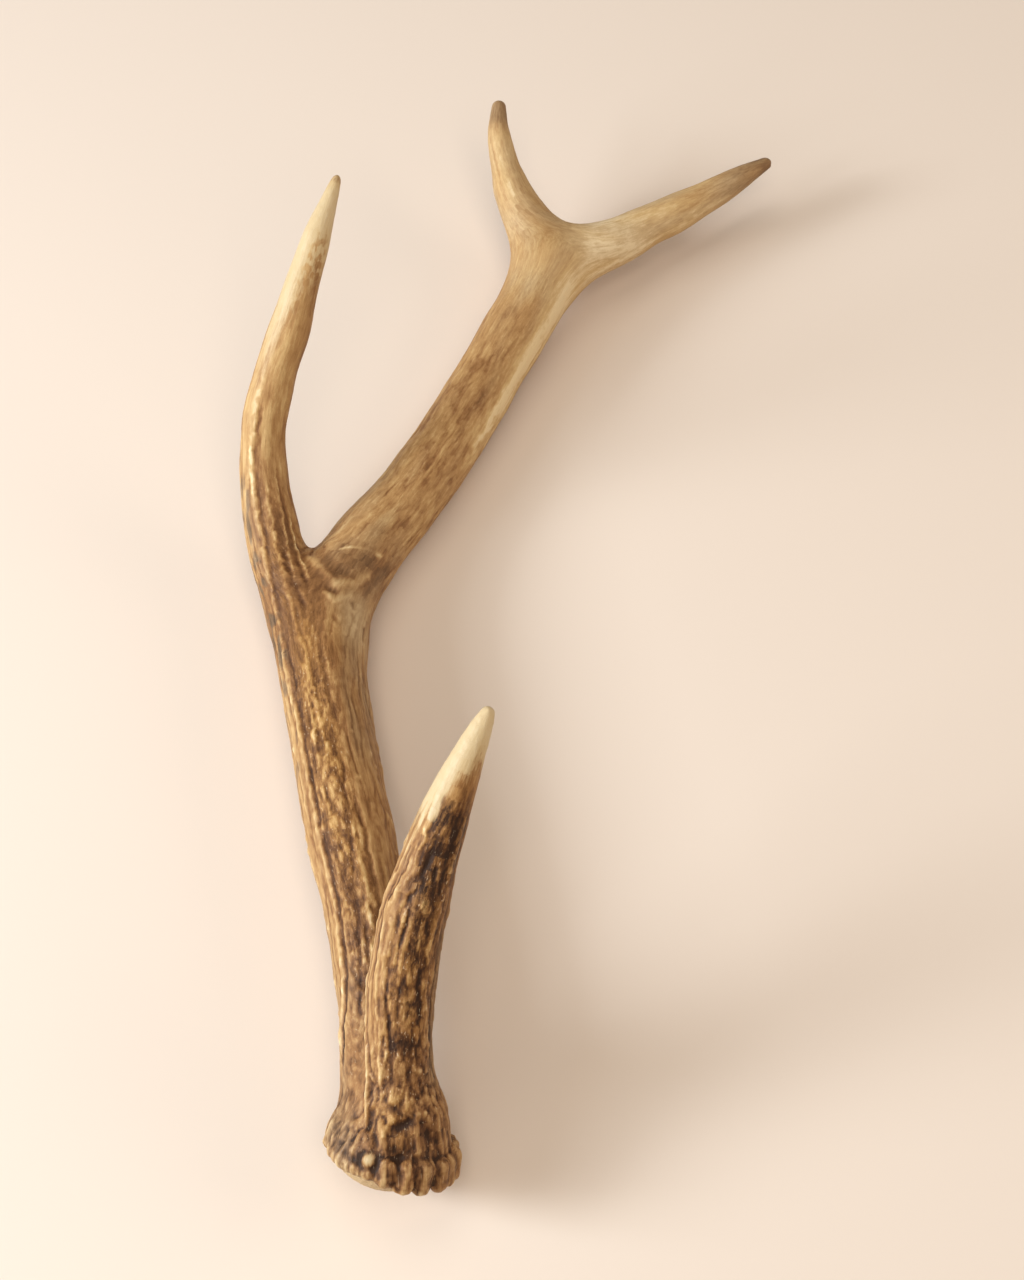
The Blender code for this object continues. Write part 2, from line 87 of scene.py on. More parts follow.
# %% Stations of the branches
FOOT_AT = np.array([-45.9, -232.0, 0.0])     # where the burr stands in the frame
STRANDS = {
    # stations of each strand: to the right, away along the table, up, radius
    "beam": [
        (-1, -1, 19, 15), (-2.4, 9, 22.5, 15.8), (-4, 24, 25.3, 16.2), (-5.5, 44, 25.8, 16.2),
        (-8, 67, 26, 16.2), (-12.4, 92, 26, 16.3), (-18, 117, 25.5, 16.8), (-23.5, 143, 25, 17.1),
        (-29, 170, 24, 17.2), (-33, 193, 22.5, 17.5), (-34, 215, 20.5, 17.9),
        (-31, 238, 18.6, 17.8), (-21, 261, 16.8, 16.4), (-4.6, 286, 15.4, 15.2),
        (11, 312, 15.2, 14.8), (25.8, 340.5, 15.6, 14.4), (39.2, 367, 17.8, 14.2), (51.5, 391, 20.8, 14.9),
        (60.5, 410, 23, 14.2),
    ],
    "brow": [
        (-0.5, 1, 21, 14), (0.3, 13, 31.5, 12.8), (1.3, 25, 42, 12.5), (2, 37, 52.5, 12.3),
        (3.4, 51, 64, 12.3), (6.5, 65, 76, 12), (11, 79, 88, 11.2), (16, 91, 98, 10),
        (21.5, 102, 108, 8.4), (27, 112, 118, 6.5), (31.8, 120.2, 125.7, 4.3), (34.4, 124.6, 129.8, 2.6),
    ],
    "trez": [
        (-37, 205, 23, 13), (-46, 231, 22, 13.1), (-54.8, 256, 27, 11.7), (-59.7, 276, 36, 10.7),
        (-61, 290, 47, 9.9), (-59.5, 302, 59, 9.3), (-55.5, 313.5, 71, 8.9), (-50, 324, 83, 8.4),
        (-44.5, 335, 95, 7.5), (-39.5, 346.5, 106, 6.3), (-34.5, 358.5, 116, 4.8),
        (-30.2, 368.5, 122.2, 3.2), (-28.2, 373.2, 124.7, 2.2),
    ],
    "inner": [
        (57, 412, 24, 12), (51.8, 426, 27.5, 10.2), (46.2, 438, 31.5, 8.2), (41.9, 449, 36.5, 6.8),
        (38.9, 460, 41.5, 5.9), (37, 471, 46.8, 4.7), (37, 479.5, 51, 3.5),
    ],
    "outer": [
        (63, 407, 23, 11), (79.5, 418, 23, 10.5), (97, 429.1, 23, 9.2), (115.5, 440, 23.5, 8.9),
        (134, 451, 24.5, 7.2), (150, 461.5, 25.5, 5.3), (159.8, 468.1, 26, 3.3),
    ],
    "web": [
        (43, 446, 33, 6.4), (48, 437, 30, 7.0), (54, 428, 28, 8.0), (64, 422, 26, 8.7),
        (77, 420.0, 25, 8.5), (88, 422.4, 24, 7.6), (97, 426.5, 23.5, 6.0),
    ],
    "flange": [
        (-8.0, -4.3, 31.1, 7.8), (-12.6, 0.6, 27.9, 8.2), (-14.4, 6.1, 23.2, 8.4), (-13.0, 9.6, 19.3, 8.0),
    ],
}
print("strands:", ", ".join(STRANDS))

# %% [markdown]
# The curve goes through every station. Its knots are spaced by the square root of the way
# between stations, which keeps it from looping where two of them lie close together.

# %% A smooth curve through the stations
SAMPLE_STEP = 5.0
CURVE_SPANS = (((0, 1), (1, 2), (2, 3)), ((0, 2), (1, 3)), ((1, 2),))


def curve_point(rows, knots, t):
    """One point of the curve, by repeated blending between neighbouring rows."""
    level = list(rows)
    for spans in CURVE_SPANS:
        shares = [(t - knots[low]) / (knots[high] - knots[low]) for low, high in spans]
        pairs = zip(shares, level, level[1:])
        level = [(1 - share) * one + share * two for share, one, two in pairs]
    return level[0]


def smooth_curve(stations):
    """Centripetal curve through the stations, sampled about every SAMPLE_STEP."""
    rows = np.asarray(stations, float)
    rows = np.vstack([2 * rows[0] - rows[1], rows, 2 * rows[-1] - rows[-2]])
    samples = []
    for before, start, end, after in zip(rows, rows[1:], rows[2:], rows[3:]):
        knots = [0.0]
        for one, two in ((before, start), (start, end), (end, after)):
            knots.append(knots[-1] + math.sqrt(np.linalg.norm((two - one)[:3])))
        count = max(2, round(np.linalg.norm((end - start)[:3]) / SAMPLE_STEP))
        for t in np.linspace(knots[1], knots[2], count, endpoint=False):
            samples.append(curve_point((before, start, end, after), knots, t))
    samples.append(rows[-2])
    return np.array(samples)


print("the beam's curve has", len(smooth_curve(STRANDS["beam"])), "samples")

# %% [markdown]
# Each branch also carries a compass: at every sample it knows which way faces the lens and
# which way is to the right, so that a ridge can be placed by its distance along the branch
# and its angle round it. Distances go on counting where a side branch leaves its parent, so
# ridges can run from one into the other without a break.

# %% A branch and its compass
TO_LENS = np.array([0.0, -math.cos(VIEW_DOWN), math.sin(VIEW_DOWN)])
REACH = 30.0                     # a branch has nothing to say further off than this


def unit(vector):
    """The vector at length one."""
    vector = np.asarray(vector, float)
    return vector / np.linalg.norm(vector)


def unit_rows(rows):
    """Each row at length one."""
    return rows / (np.linalg.norm(rows, axis=1)[:, None] + 1e-9)


class Branch:
    """A tapering round rod along a curve, with coordinates along and round it."""

    def __init__(self, stations, parent=None):
        samples = smooth_curve(stations)
        self.centres = samples[:, :3]
        self.radii = samples[:, 3]
        self.steps = np.diff(self.centres, axis=0)
        self.lengths = np.linalg.norm(self.steps, axis=1)
        tangents = unit_rows(np.gradient(self.centres, axis=0))
        self.fronts = unit_rows(TO_LENS - tangents * (tangents @ TO_LENS)[:, None])
        self.rights = np.cross(tangents, self.fronts)
        self.travel = np.concatenate([[0.0], np.cumsum(self.lengths)])
        self.start = 0.0
        if parent is not None:
            where = np.linalg.norm(parent.centres - self.centres[0], axis=1).argmin()
            self.start = parent.travel[where]

    def nearest(self, points):
        """For each point: gap to the rod, nearest segment and how far along it."""
        order = np.argsort(points[:, 1])
        sorted_points = points[order]
        rows = sorted_points[:, 1]
        best = np.full(len(points), 1e3)
        segment = np.zeros(len(points), int)
        share = np.zeros(len(points))
        for i, step in enumerate(self.steps):
            reach = REACH + max(self.radii[i], self.radii[i + 1])
            ends = self.centres[i, 1], self.centres[i + 1, 1]
            low = np.searchsorted(rows, min(ends) - reach)
            high = np.searchsorted(rows, max(ends) + reach)
            offset = sorted_points[low:high] - self.centres[i]
            along = np.clip(offset @ step / self.lengths[i] ** 2, 0.0, 1.0)
            gap = np.linalg.norm(offset - along[:, None] * step, axis=1)
            gap -= self.radii[i] * (1 - along) + self.radii[i + 1] * along
            closer = np.flatnonzero(gap < best[low:high])
            best[low + closer] = gap[closer]
            segment[low + closer] = i
            share[low + closer] = along[closer]
        back = np.empty(len(points), int)
        back[order] = np.arange(len(points))
        return best[back], segment[back], share[back]

    def survey(self, points):
        """Gap, direction away, distance along, angle from the lens, across and up."""
        gap, segment, share = self.nearest(points)
        away = points - self.centres[segment] - share[:, None] * self.steps[segment]
        right = np.einsum("ij,ij->i", away, self.rights[segment])
        front = np.einsum("ij,ij->i", away, self.fronts[segment])
        along = self.travel[segment] + share * self.lengths[segment]
        return gap, unit_rows(away), along, right, front


PARENT = {"brow": "beam", "trez": "beam", "inner": "beam", "outer": "beam"}
branches = {}
for name, stations in STRANDS.items():
    branches[name] = Branch(stations, branches.get(PARENT.get(name)))
for name, branch in branches.items():
    print(name, "leaves at", round(branch.start), "and is", round(branch.travel[-1]), "mm long")

# %% [markdown]
# ## The smooth body
# The rods are joined by a smooth union: where two rods are near each other their surfaces
# melt together, as growing bone does. The burr is a flare, closed from below by the domed
# seal where the antler came off the skull, and ringed with knobs.

# %% The burr's tables
BURR_CENTRE = np.array([-0.5, 1.0, 19.6])
BURR_AXIS = unit((0.25, 0.68, 0.69))
BURR_FLARE = [(-4, 19.4), (0, 20.0), (4, 19.2), (9, 17.4), (15, 15.0)]
SEAL_DEPTH = 13.0
SEAL_RADIUS = 24.0
SEAL_SHIFT = -3.5                # the seal's lowest point lies this far to the left
KNOB_LEAN = 1.4                  # how far a knob's upper end leans inward
KNOBS = [
    # angle round the burr, reach from its axis, radius, how far below the rim, how far above
    (8, 22.8, 3.1, 2.4, 6.5), (22, 22.4, 2.5, 2.6, 5.0), (37, 22.4, 2.9, 3.2, 5.0),
    (58, 22.0, 3.4, 3.0, 5.5), (77, 21.8, 3.5, 2.4, 5.0), (96, 22.0, 3.0, 1.4, 4.6),
    (112, 22.0, 1.9, 0.4, 1.6), (115, 21.4, 2.4, -3.8, 5.0), (124, 22.4, 2.0, 0.6, 1.6),
    (133, 22.6, 1.8, 0.8, 1.4), (142, 22.8, 2.1, 1.0, 1.6), (151, 22.9, 1.9, 1.6, 1.6),
    (161, 23.6, 2.2, 2.0, 4.0), (175, 24.2, 2.4, 1.6, 6.5), (189, 24.0, 2.4, 2.0, 7.5),
    (203, 22.6, 2.6, 2.6, 4.0), (219, 22.8, 2.9, 2.8, 4.5), (234, 23.2, 2.6, 2.8, 4.0),
    (247, 22.9, 2.5, 3.0, 4.5), (262, 21.4, 2.3, 2.4, 4.0), (277, 21.4, 2.3, 2.6, 4.0),
    (292, 22.3, 2.6, 3.0, 4.5), (307, 22.5, 2.5, 2.8, 4.0), (321, 22.8, 2.5, 2.8, 4.5),
    (335, 23.0, 2.7, 2.6, 5.5), (349, 23.4, 2.5, 2.6, 6.5),
]
BURR_RIGHT = unit(np.array([1.0, 0, 0]) - BURR_AXIS * BURR_AXIS[0])
BURR_FRONT = np.cross(BURR_RIGHT, BURR_AXIS)
branches["flare"] = Branch([(*(BURR_CENTRE + BURR_AXIS * h), r) for h, r in BURR_FLARE])


def knob_ends():
    """Lower end, upper end and radius of every knob of the burr."""
    for angle, reach, radius, below, above in KNOBS:
        turn = math.radians(angle)
        outward = math.cos(turn) * BURR_RIGHT + math.sin(turn) * BURR_FRONT
        rim = BURR_CENTRE + outward * reach
        low = rim - BURR_AXIS * (below - radius * 0.5)
        yield low, rim + BURR_AXIS * above - outward * KNOB_LEAN, radius


print("the burr has", len(list(knob_ends())), "knobs, one of them the round pearl")

# %% [markdown]
# Every shape is asked the same question: how far is this point from you, and which way is
# out? Two answers melt into one by a smooth minimum. The softness, in millimetres, says how
# wide the fillet between them is: wide at the forks, narrow between the knobs.

# %% Melting the shapes together
FORK_BLEND = 3.2
SEAL_BLEND = 1.2
KNOB_BLEND = 0.8
FAR = 1e3                        # a gap that stands for "nowhere near"
KNOBS_WITHIN = 45.0              # no knob is further than this from the burr's centre
LEAST_STEEP = 0.2                # keeps a step finite where two ways out cancel


def melt(fields, softness):
    """Smooth union of fields: each is a gap and the direction away."""
    gaps = np.array([gap for gap, _ in fields])
    least = gaps.min(axis=0)
    shares = np.exp((least - gaps) / softness)
    total = shares.sum(axis=0)
    way = sum(share[:, None] * way for share, (_, way) in zip(shares, fields))
    return least - softness * np.log(total), way / total[:, None]


def burr_place(points, centre=BURR_CENTRE):
    """Height above the burr's rim along its axis and reach from that axis."""
    offset = points - centre
    height = offset @ BURR_AXIS
    reach = np.linalg.norm(offset - height[:, None] * BURR_AXIS, axis=1)
    return height, reach


def burr_turn(points):
    """Angle round the burr, from the right towards the front, in degrees."""
    offset = points - BURR_CENTRE
    return np.degrees(np.arctan2(offset @ BURR_FRONT, offset @ BURR_RIGHT)) % 360


def below_seal(points):
    """Distance below the domed seal, and the way down."""
    height, reach = burr_place(points, BURR_CENTRE + SEAL_SHIFT * BURR_RIGHT)
    depth = SEAL_DEPTH * (1 - np.minimum(reach / SEAL_RADIUS, 1.2) ** 2)
    return -(height + depth), np.repeat(-BURR_AXIS[None, :], len(points), axis=0)


def knob_field(points):
    """Distance to the knobs; far from the burr it is simply large."""
    gap = np.full(len(points), FAR)
    way = np.zeros((len(points), 3))
    near = np.linalg.norm(points - BURR_CENTRE, axis=1) < KNOBS_WITHIN
    spots = points[near]
    fields = []
    for low, high, radius in knob_ends():
        span = high - low
        along = np.clip((spots - low) @ span / (span @ span), 0.0, 1.0)
        away = spots - low - along[:, None] * span
        fields.append((np.linalg.norm(away, axis=1) - radius, unit_rows(away)))
    gap[near], way[near] = melt(fields, KNOB_BLEND)
    return gap, way


def body_field(points):
    """Distance outside the whole smooth antler and the way out."""
    rods = melt([branch.survey(points)[:2] for branch in branches.values()], FORK_BLEND)
    cut = below_seal(points)
    closed = melt([(-rods[0], -rods[1]), (-cut[0], -cut[1])], SEAL_BLEND)
    return melt([(-closed[0], -closed[1]), knob_field(points)], KNOB_BLEND)


def draw_onto_body(points, steps):
    """Move points along the way out until they lie on the smooth body."""
    for _ in range(steps):
        gap, way = body_field(points)
        steepness = np.maximum(np.einsum("ij,ij->i", way, way), LEAST_STEEP)
        points = points - way * (gap / steepness)[:, None]
    return points


probe = BURR_CENTRE[None, :] + BURR_AXIS * 40.0
print("40 mm up the burr's axis the gap is", body_field(probe)[0].round(1)[0], "mm")

# %% [markdown]
# A first skin comes from plain tubes and balls fused by the Remesh modifier. Its points are
# then drawn onto the smooth body, and a Subdivision Surface makes it fine enough for
# ridges a millimetre wide. Sculpting by hand would do too, but this way the skin keeps to
# the stations exactly.

# %% Tubes and balls
TUBE_SIDES = 20


def add_tube(solid, branch):
    """Closed tube along a branch, with a ball at its end."""
    rings = []
    frames = zip(branch.centres, branch.rights, branch.fronts, branch.radii)
    for centre, right, front, radius in frames:
        turns = [2 * math.pi * k / TUBE_SIDES for k in range(TUBE_SIDES)]
        spots = [centre + radius * (math.cos(t) * right + math.sin(t) * front) for t in turns]
        rings.append([solid.verts.new(spot) for spot in spots])
    for lower, upper in zip(rings, rings[1:]):
        for k in range(TUBE_SIDES):
            after = (k + 1) % TUBE_SIDES
            solid.faces.new((lower[k], lower[after], upper[after], upper[k]))
    solid.faces.new(reversed(rings[0]))
    solid.faces.new(rings[-1])
    add_ball(solid, branch.centres[-1], branch.radii[-1])


def add_ball(solid, centre, radius):
    """Ball of the given radius."""
    made = bmesh.ops.create_icosphere(solid, subdivisions=2, radius=radius)
    bmesh.ops.translate(solid, verts=made["verts"], vec=Vector(centre))


solid = bmesh.new()
for branch in branches.values():
    add_tube(solid, branch)
for low, high, radius in knob_ends():
    for spot in (low, (low + high) / 2, high):
        add_ball(solid, spot, radius)
skin = bpy.data.meshes.new("skin")
solid.to_mesh(skin)
solid.free()
print("tubes and balls of", len(skin.polygons), "faces")

# %% A skin of even faces
ROUGH_VOXEL = 1.6                # millimetres, for the first skin
SKIN_VOXEL = 1.45                # millimetres, for the even one


def with_modifier(mesh, kind, **settings):
    """The mesh after one modifier of the given kind."""
    carrier = add_object("carrier", mesh)
    modifier = carrier.modifiers.new(kind.lower(), kind)
    for key, value in settings.items():
        setattr(modifier, key, value)
    graph = bpy.context.evaluated_depsgraph_get()
    result = bpy.data.meshes.new_from_object(carrier.evaluated_get(graph))
    bpy.data.objects.remove(carrier)
    bpy.data.meshes.remove(mesh)
    return result


def read_rows(items, what, width, kind=float):
    """Numbers of a mesh's points, edges or faces, a row for each."""
    flat = np.empty(len(items) * width, kind)
    items.foreach_get(what, flat)
    return flat.reshape(-1, width)


def set_mesh_points(mesh, points):
    """Write positions back to a mesh."""
    mesh.vertices.foreach_set("co", points.ravel())
    mesh.update()


skin = with_modifier(skin, "REMESH", mode="VOXEL", voxel_size=ROUGH_VOXEL)
set_mesh_points(skin, draw_onto_body(read_rows(skin.vertices, "co", 3), 6))
skin = with_modifier(skin, "REMESH", mode="VOXEL", voxel_size=SKIN_VOXEL)
skin = with_modifier(skin, "SMOOTH", factor=0.5, iterations=3)
set_mesh_points(skin, draw_onto_body(read_rows(skin.vertices, "co", 3), 4))
skin = with_modifier(skin, "SUBSURF", levels=1, render_levels=1)
base = read_rows(skin.vertices, "co", 3)
print("skin of", len(base), "points")

# %% [markdown]
# ## Grain
# Bone grain runs along each branch. A grain coordinate is made for every point: two numbers
# across the branch and one along it, shared smoothly between branches at the forks. Noise
# read in these coordinates and stretched along the third comes out as ridges that follow
# the branch, split and merge, and sweep over the forks.

# %% Surveying the skin
GRAIN_BLEND = 5.0
GRAIN_BRANCHES = ("beam", "brow", "trez", "inner", "outer")
surveys = {name: branches[name].survey(base) for name in GRAIN_BRANCHES}
gaps = np.array([surveys[name][0] for name in GRAIN_BRANCHES])
shares = np.exp((gaps.min(axis=0) - gaps) / GRAIN_BLEND)
shares /= shares.sum(axis=0)
grain = np.zeros_like(base)
for share, name in zip(shares, GRAIN_BRANCHES):
    _, _, along, right, front = surveys[name]
    grain += share[:, None] * np.stack([right, front, along + branches[name].start], axis=1)
share_of = dict(zip(GRAIN_BRANCHES, shares))
way_out = unit_rows(body_field(base)[1])
burr_height = burr_place(base)[0]
print("grain runs to", grain[:, 2].max().round(), "mm")

# %% [markdown]
# Smooth seeded noise is the clay for all the relief. It is the usual lattice noise: random
# slopes at the corners of a grid, blended between them. A seeded table tells which slope a
# corner has, so the same seed always gives the same antler.

# %% Smooth noise


class Lattice:
    """Seeded table that gives every cell of a grid its number."""

    def __init__(self, seed):
        self.source = np.random.default_rng(seed)
        self.table = self.source.permutation(256)

    def number(self, cell):
        """The number of each cell, from 0 to 255."""
        number = self.table[cell[:, 0] & 255]
        number = self.table[(number + cell[:, 1]) & 255]
        return self.table[(number + cell[:, 2]) & 255]


class Waves(Lattice):
    """Seeded smooth noise in three directions, between about -1 and 1."""

    def __init__(self, seed):
        super().__init__(seed)
        self.slopes = unit_rows(self.source.normal(size=(256, 3)))

    def at(self, points):
        """Noise at the points."""
        cell = np.floor(points).astype(int)
        offset = points - cell
        ease = offset ** 3 * (offset * (offset * 6 - 15) + 10)
        total = np.zeros(len(points))
        for corner in np.ndindex(2, 2, 2):
            shift = np.array(corner)
            slope = self.slopes[self.number(cell + shift)]
            weight = np.where(shift, ease, 1 - ease).prod(axis=1)
            total += weight * np.einsum("ij,ij->i", slope, offset - shift)
        return total * 1.6       # lattice noise seldom passes 0.6, so it is stretched


waves = Waves(11)
print("noise over the skin:", np.percentile(waves.at(base / 7.0), [1, 50, 99]).round(2))

# %% [markdown]
# Bone is also grainy: packed with small rounded grains, each a little lighter or darker than
# its neighbours. A scatter of seeded spots gives that: a point belongs to the nearest spot,
# and the difference between the nearest and the second nearest tells how far inside it is.

# %% Grains


class Cells(Lattice):
    """Seeded scatter of grains: each point learns about the grain it lies in."""

    def __init__(self, seed):
        super().__init__(seed)
        self.spots = self.source.uniform(0.1, 0.9, size=(256, 3))
        self.tints = self.source.uniform(-1.0, 1.0, size=256)

    def at(self, points):
        """How far inside its grain each point is, and that grain's own tint."""
        cell = np.floor(points).astype(int)
        first = np.full(len(points), 9.0)
        second = np.full(len(points), 9.0)
        tint = np.zeros(len(points))
        for corner in np.ndindex(3, 3, 3):
            spot_cell = cell + corner - 1
            index = self.number(spot_cell)
            distance = np.linalg.norm(spot_cell + self.spots[index] - points, axis=1)
            closer = distance < first
            second = np.where(closer, first, np.minimum(second, distance))
            tint = np.where(closer, self.tints[index], tint)
            first = np.minimum(first, distance)
        return second - first, tint


cells = Cells(12)
print("tints of grains from", cells.tints.min().round(2), "to", cells.tints.max().round(2))

# %% [markdown]
# Read along the grain, the smooth noise turns into streaks. Every set of streaks is shifted
# by a number of its own, so that no two sets are alike.

# %% Streaks along the grain


def streaks(width, length, offset=0.0, wander=0.0):
    """Noise whose features are about width across and length along the grain."""
    place = grain.copy()
    if wander:
        place[:, 0] += wander * waves.at(grain / (9.0, 9.0, 16.0) + 31.7)
        place[:, 1] += wander * waves.at(grain / (9.0, 9.0, 16.0) + 57.1)
    return waves.at(place / (width, width, length) + offset)


def ramp(values, low, high):
    """Nought below low, one above high, eased between."""
    share = np.clip((values - low) / (high - low), 0.0, 1.0)
    return share * share * (3 - 2 * share)


print("streaks over the skin:", np.percentile(streaks(4.0, 42.0), [1, 50, 99]).round(2))

# %% [markdown]
# ## Relief
# The ridges are strongest low on the beam and on the first tine, soften up the beam, and
# are rubbed away at every point. Each branch has a small table of how rough it is along its
# length.

# %% How rough each branch is
ROUGHNESS = {
    # distance along the branch, how rough
    "beam": [(0, 0.9), (25, 1.0), (220, 0.9), (270, 0.65), (330, 0.45), (400, 0.3), (439, 0.25)],
    "brow": [(0, 0.9), (40, 1.1), (112, 1.0), (130, 0.7), (142, 0.25), (152, 0.06), (170, 0.02)],
    "trez": [(0, 0.9), (65, 0.8), (100, 0.55), (130, 0.3), (160, 0.12), (215, 0.05)],
    "inner": [(0, 0.25), (50, 0.2), (76, 0.15)],
    "outer": [(0, 0.25), (60, 0.25), (115, 0.2)],
}
SMOOTHER = [
    # branch, along, angle, half length, half angle, how much smoother
    ("beam", 238, 20, 22, 60, 0.7), ("beam", 275, 0, 26, 180, 0.4), ("trez", 8, 50, 16, 50, 0.6),
    ("beam", 20, -80, 24, 50, 0.5),
]
rough = np.zeros(len(base))
for name, table in ROUGHNESS.items():
    along, amount = zip(*table)
    rough += share_of[name] * np.interp(surveys[name][2], along, amount)
print("roughness spans", rough.min().round(2), rough.max().round(2))

# %% [markdown]
# Main ridges: where stretched noise crosses nought there is a narrow groove, and between
# grooves the surface rises in a rounded ridge. A second, finer set breaks them up. Some
# stretches are grainy besides, so first comes a way to name a soft spot on a branch.

# %% Soft spots on a branch
angle_on = {name: np.degrees(np.arctan2(surveys[name][3], surveys[name][4])) for name in GRAIN_BRANCHES}
along_on = {name: surveys[name][2] for name in GRAIN_BRANCHES}


def turned_from(name, angle):
    """How far round from an angle each point lies, from -180 to 180 degrees."""
    return (angle_on[name] - angle + 180.0) % 360.0 - 180.0


def patch(name, along, angle, half_length, half_angle):
    """A soft spot on a branch."""
    off = ((along_on[name] - along) / half_length) ** 4
    off += (turned_from(name, angle) / half_angle) ** 4
    return share_of[name] * np.exp(-off)


GRAINY = [
    # branch, along, angle, half length, half angle, how grainy
    ("beam", 135, -8, 90, 30, 1.0), ("beam", 20, 10, 30, 180, 0.7), ("beam", 120, 180, 110, 60, 0.8),
    ("brow", 85, 18, 52, 55, 1.0), ("brow", 25, 20, 30, 60, 0.8), ("brow", 60, 180, 60, 60, 0.6),
    ("trez", 40, 5, 45, 30, 0.5), ("beam", 330, 0, 80, 180, 0.4),
]
grainy = sum(amount * patch(*spot) for *spot, amount in GRAINY).clip(0, 1)
for *spot, amount in SMOOTHER:
    rough *= 1 - amount * patch(*spot)
print("grainy over", round(float(grainy.mean() * 100)), "% of the skin")

# %% Ridges, grooves and lumps
RIDGE_HEIGHT = 0.34              # heights and depths are in millimetres
FURROW_DEPTH = 0.40
FINE_HEIGHT = 0.12
BEAD_HEIGHT = 0.38
LUMP_HEIGHT = 0.12
BROAD_HEIGHT = 0.4
BEND_HEIGHT = 0.8
FURROW_WIDTH = 0.18              # how near to nought the noise is in a furrow
CREASE_WIDTH = 0.2
BEAD_SIZE = (2.6, 2.6, 6.5)      # millimetres: twice across the grain and once along it
wide = streaks(4.0, 42.0, 3.3, wander=1.6)
fine = streaks(2.3, 16.0, 91.3, wander=1.0)
broad = streaks(9.0, 60.0, 17.9)
deep = 0.15 + 0.85 * ramp(streaks(6.0, 22.0, 40.1), -0.15, 0.4)
furrow = np.exp(-(wide / FURROW_WIDTH) ** 2) * deep
broken_up = 0.3 + 0.7 * ramp(streaks(4.0, 12.0, 66.6), -0.2, 0.3)
crease = np.exp(-(fine / CREASE_WIDTH) ** 2) * broken_up
bent = grain + np.stack([waves.at(grain / 4.0 + shift) for shift in (11.3, 37.9, 61.7)], axis=1)
inside, tint = cells.at(bent / BEAD_SIZE + 7.7)
blob = ramp(streaks(2.7, 8.0, 51.0, wander=1.2), -0.35, 0.30)
bead = 0.65 * blob + 0.35 * ramp(inside, 0.0, 0.45)
height = rough * (RIDGE_HEIGHT * (np.abs(wide) ** 0.8 - 0.35) - FURROW_DEPTH * furrow)
height += rough * (0.5 + 0.5 * grainy) * FINE_HEIGHT * (np.abs(fine) - 0.25 - crease)
height += rough * grainy * BEAD_HEIGHT * (bead - 0.5)
height += rough * LUMP_HEIGHT * waves.at(base / 3.1 + 5.0)
height += BROAD_HEIGHT * broad * (0.3 + 0.7 * rough) + BEND_HEIGHT * waves.at(base / 21.0)
print("relief from", height.min().round(2), "to", height.max().round(2), "mm")

# %% [markdown]
# Some ridges are so plain that the eye knows the antler by them: the pale wavy ridge that
# climbs the left of the beam and runs on into the middle tine, the dark furrow beside it,
# the thin bright rims of the first tine. These are drawn one by one, by distance along the
# branch and angle round it.

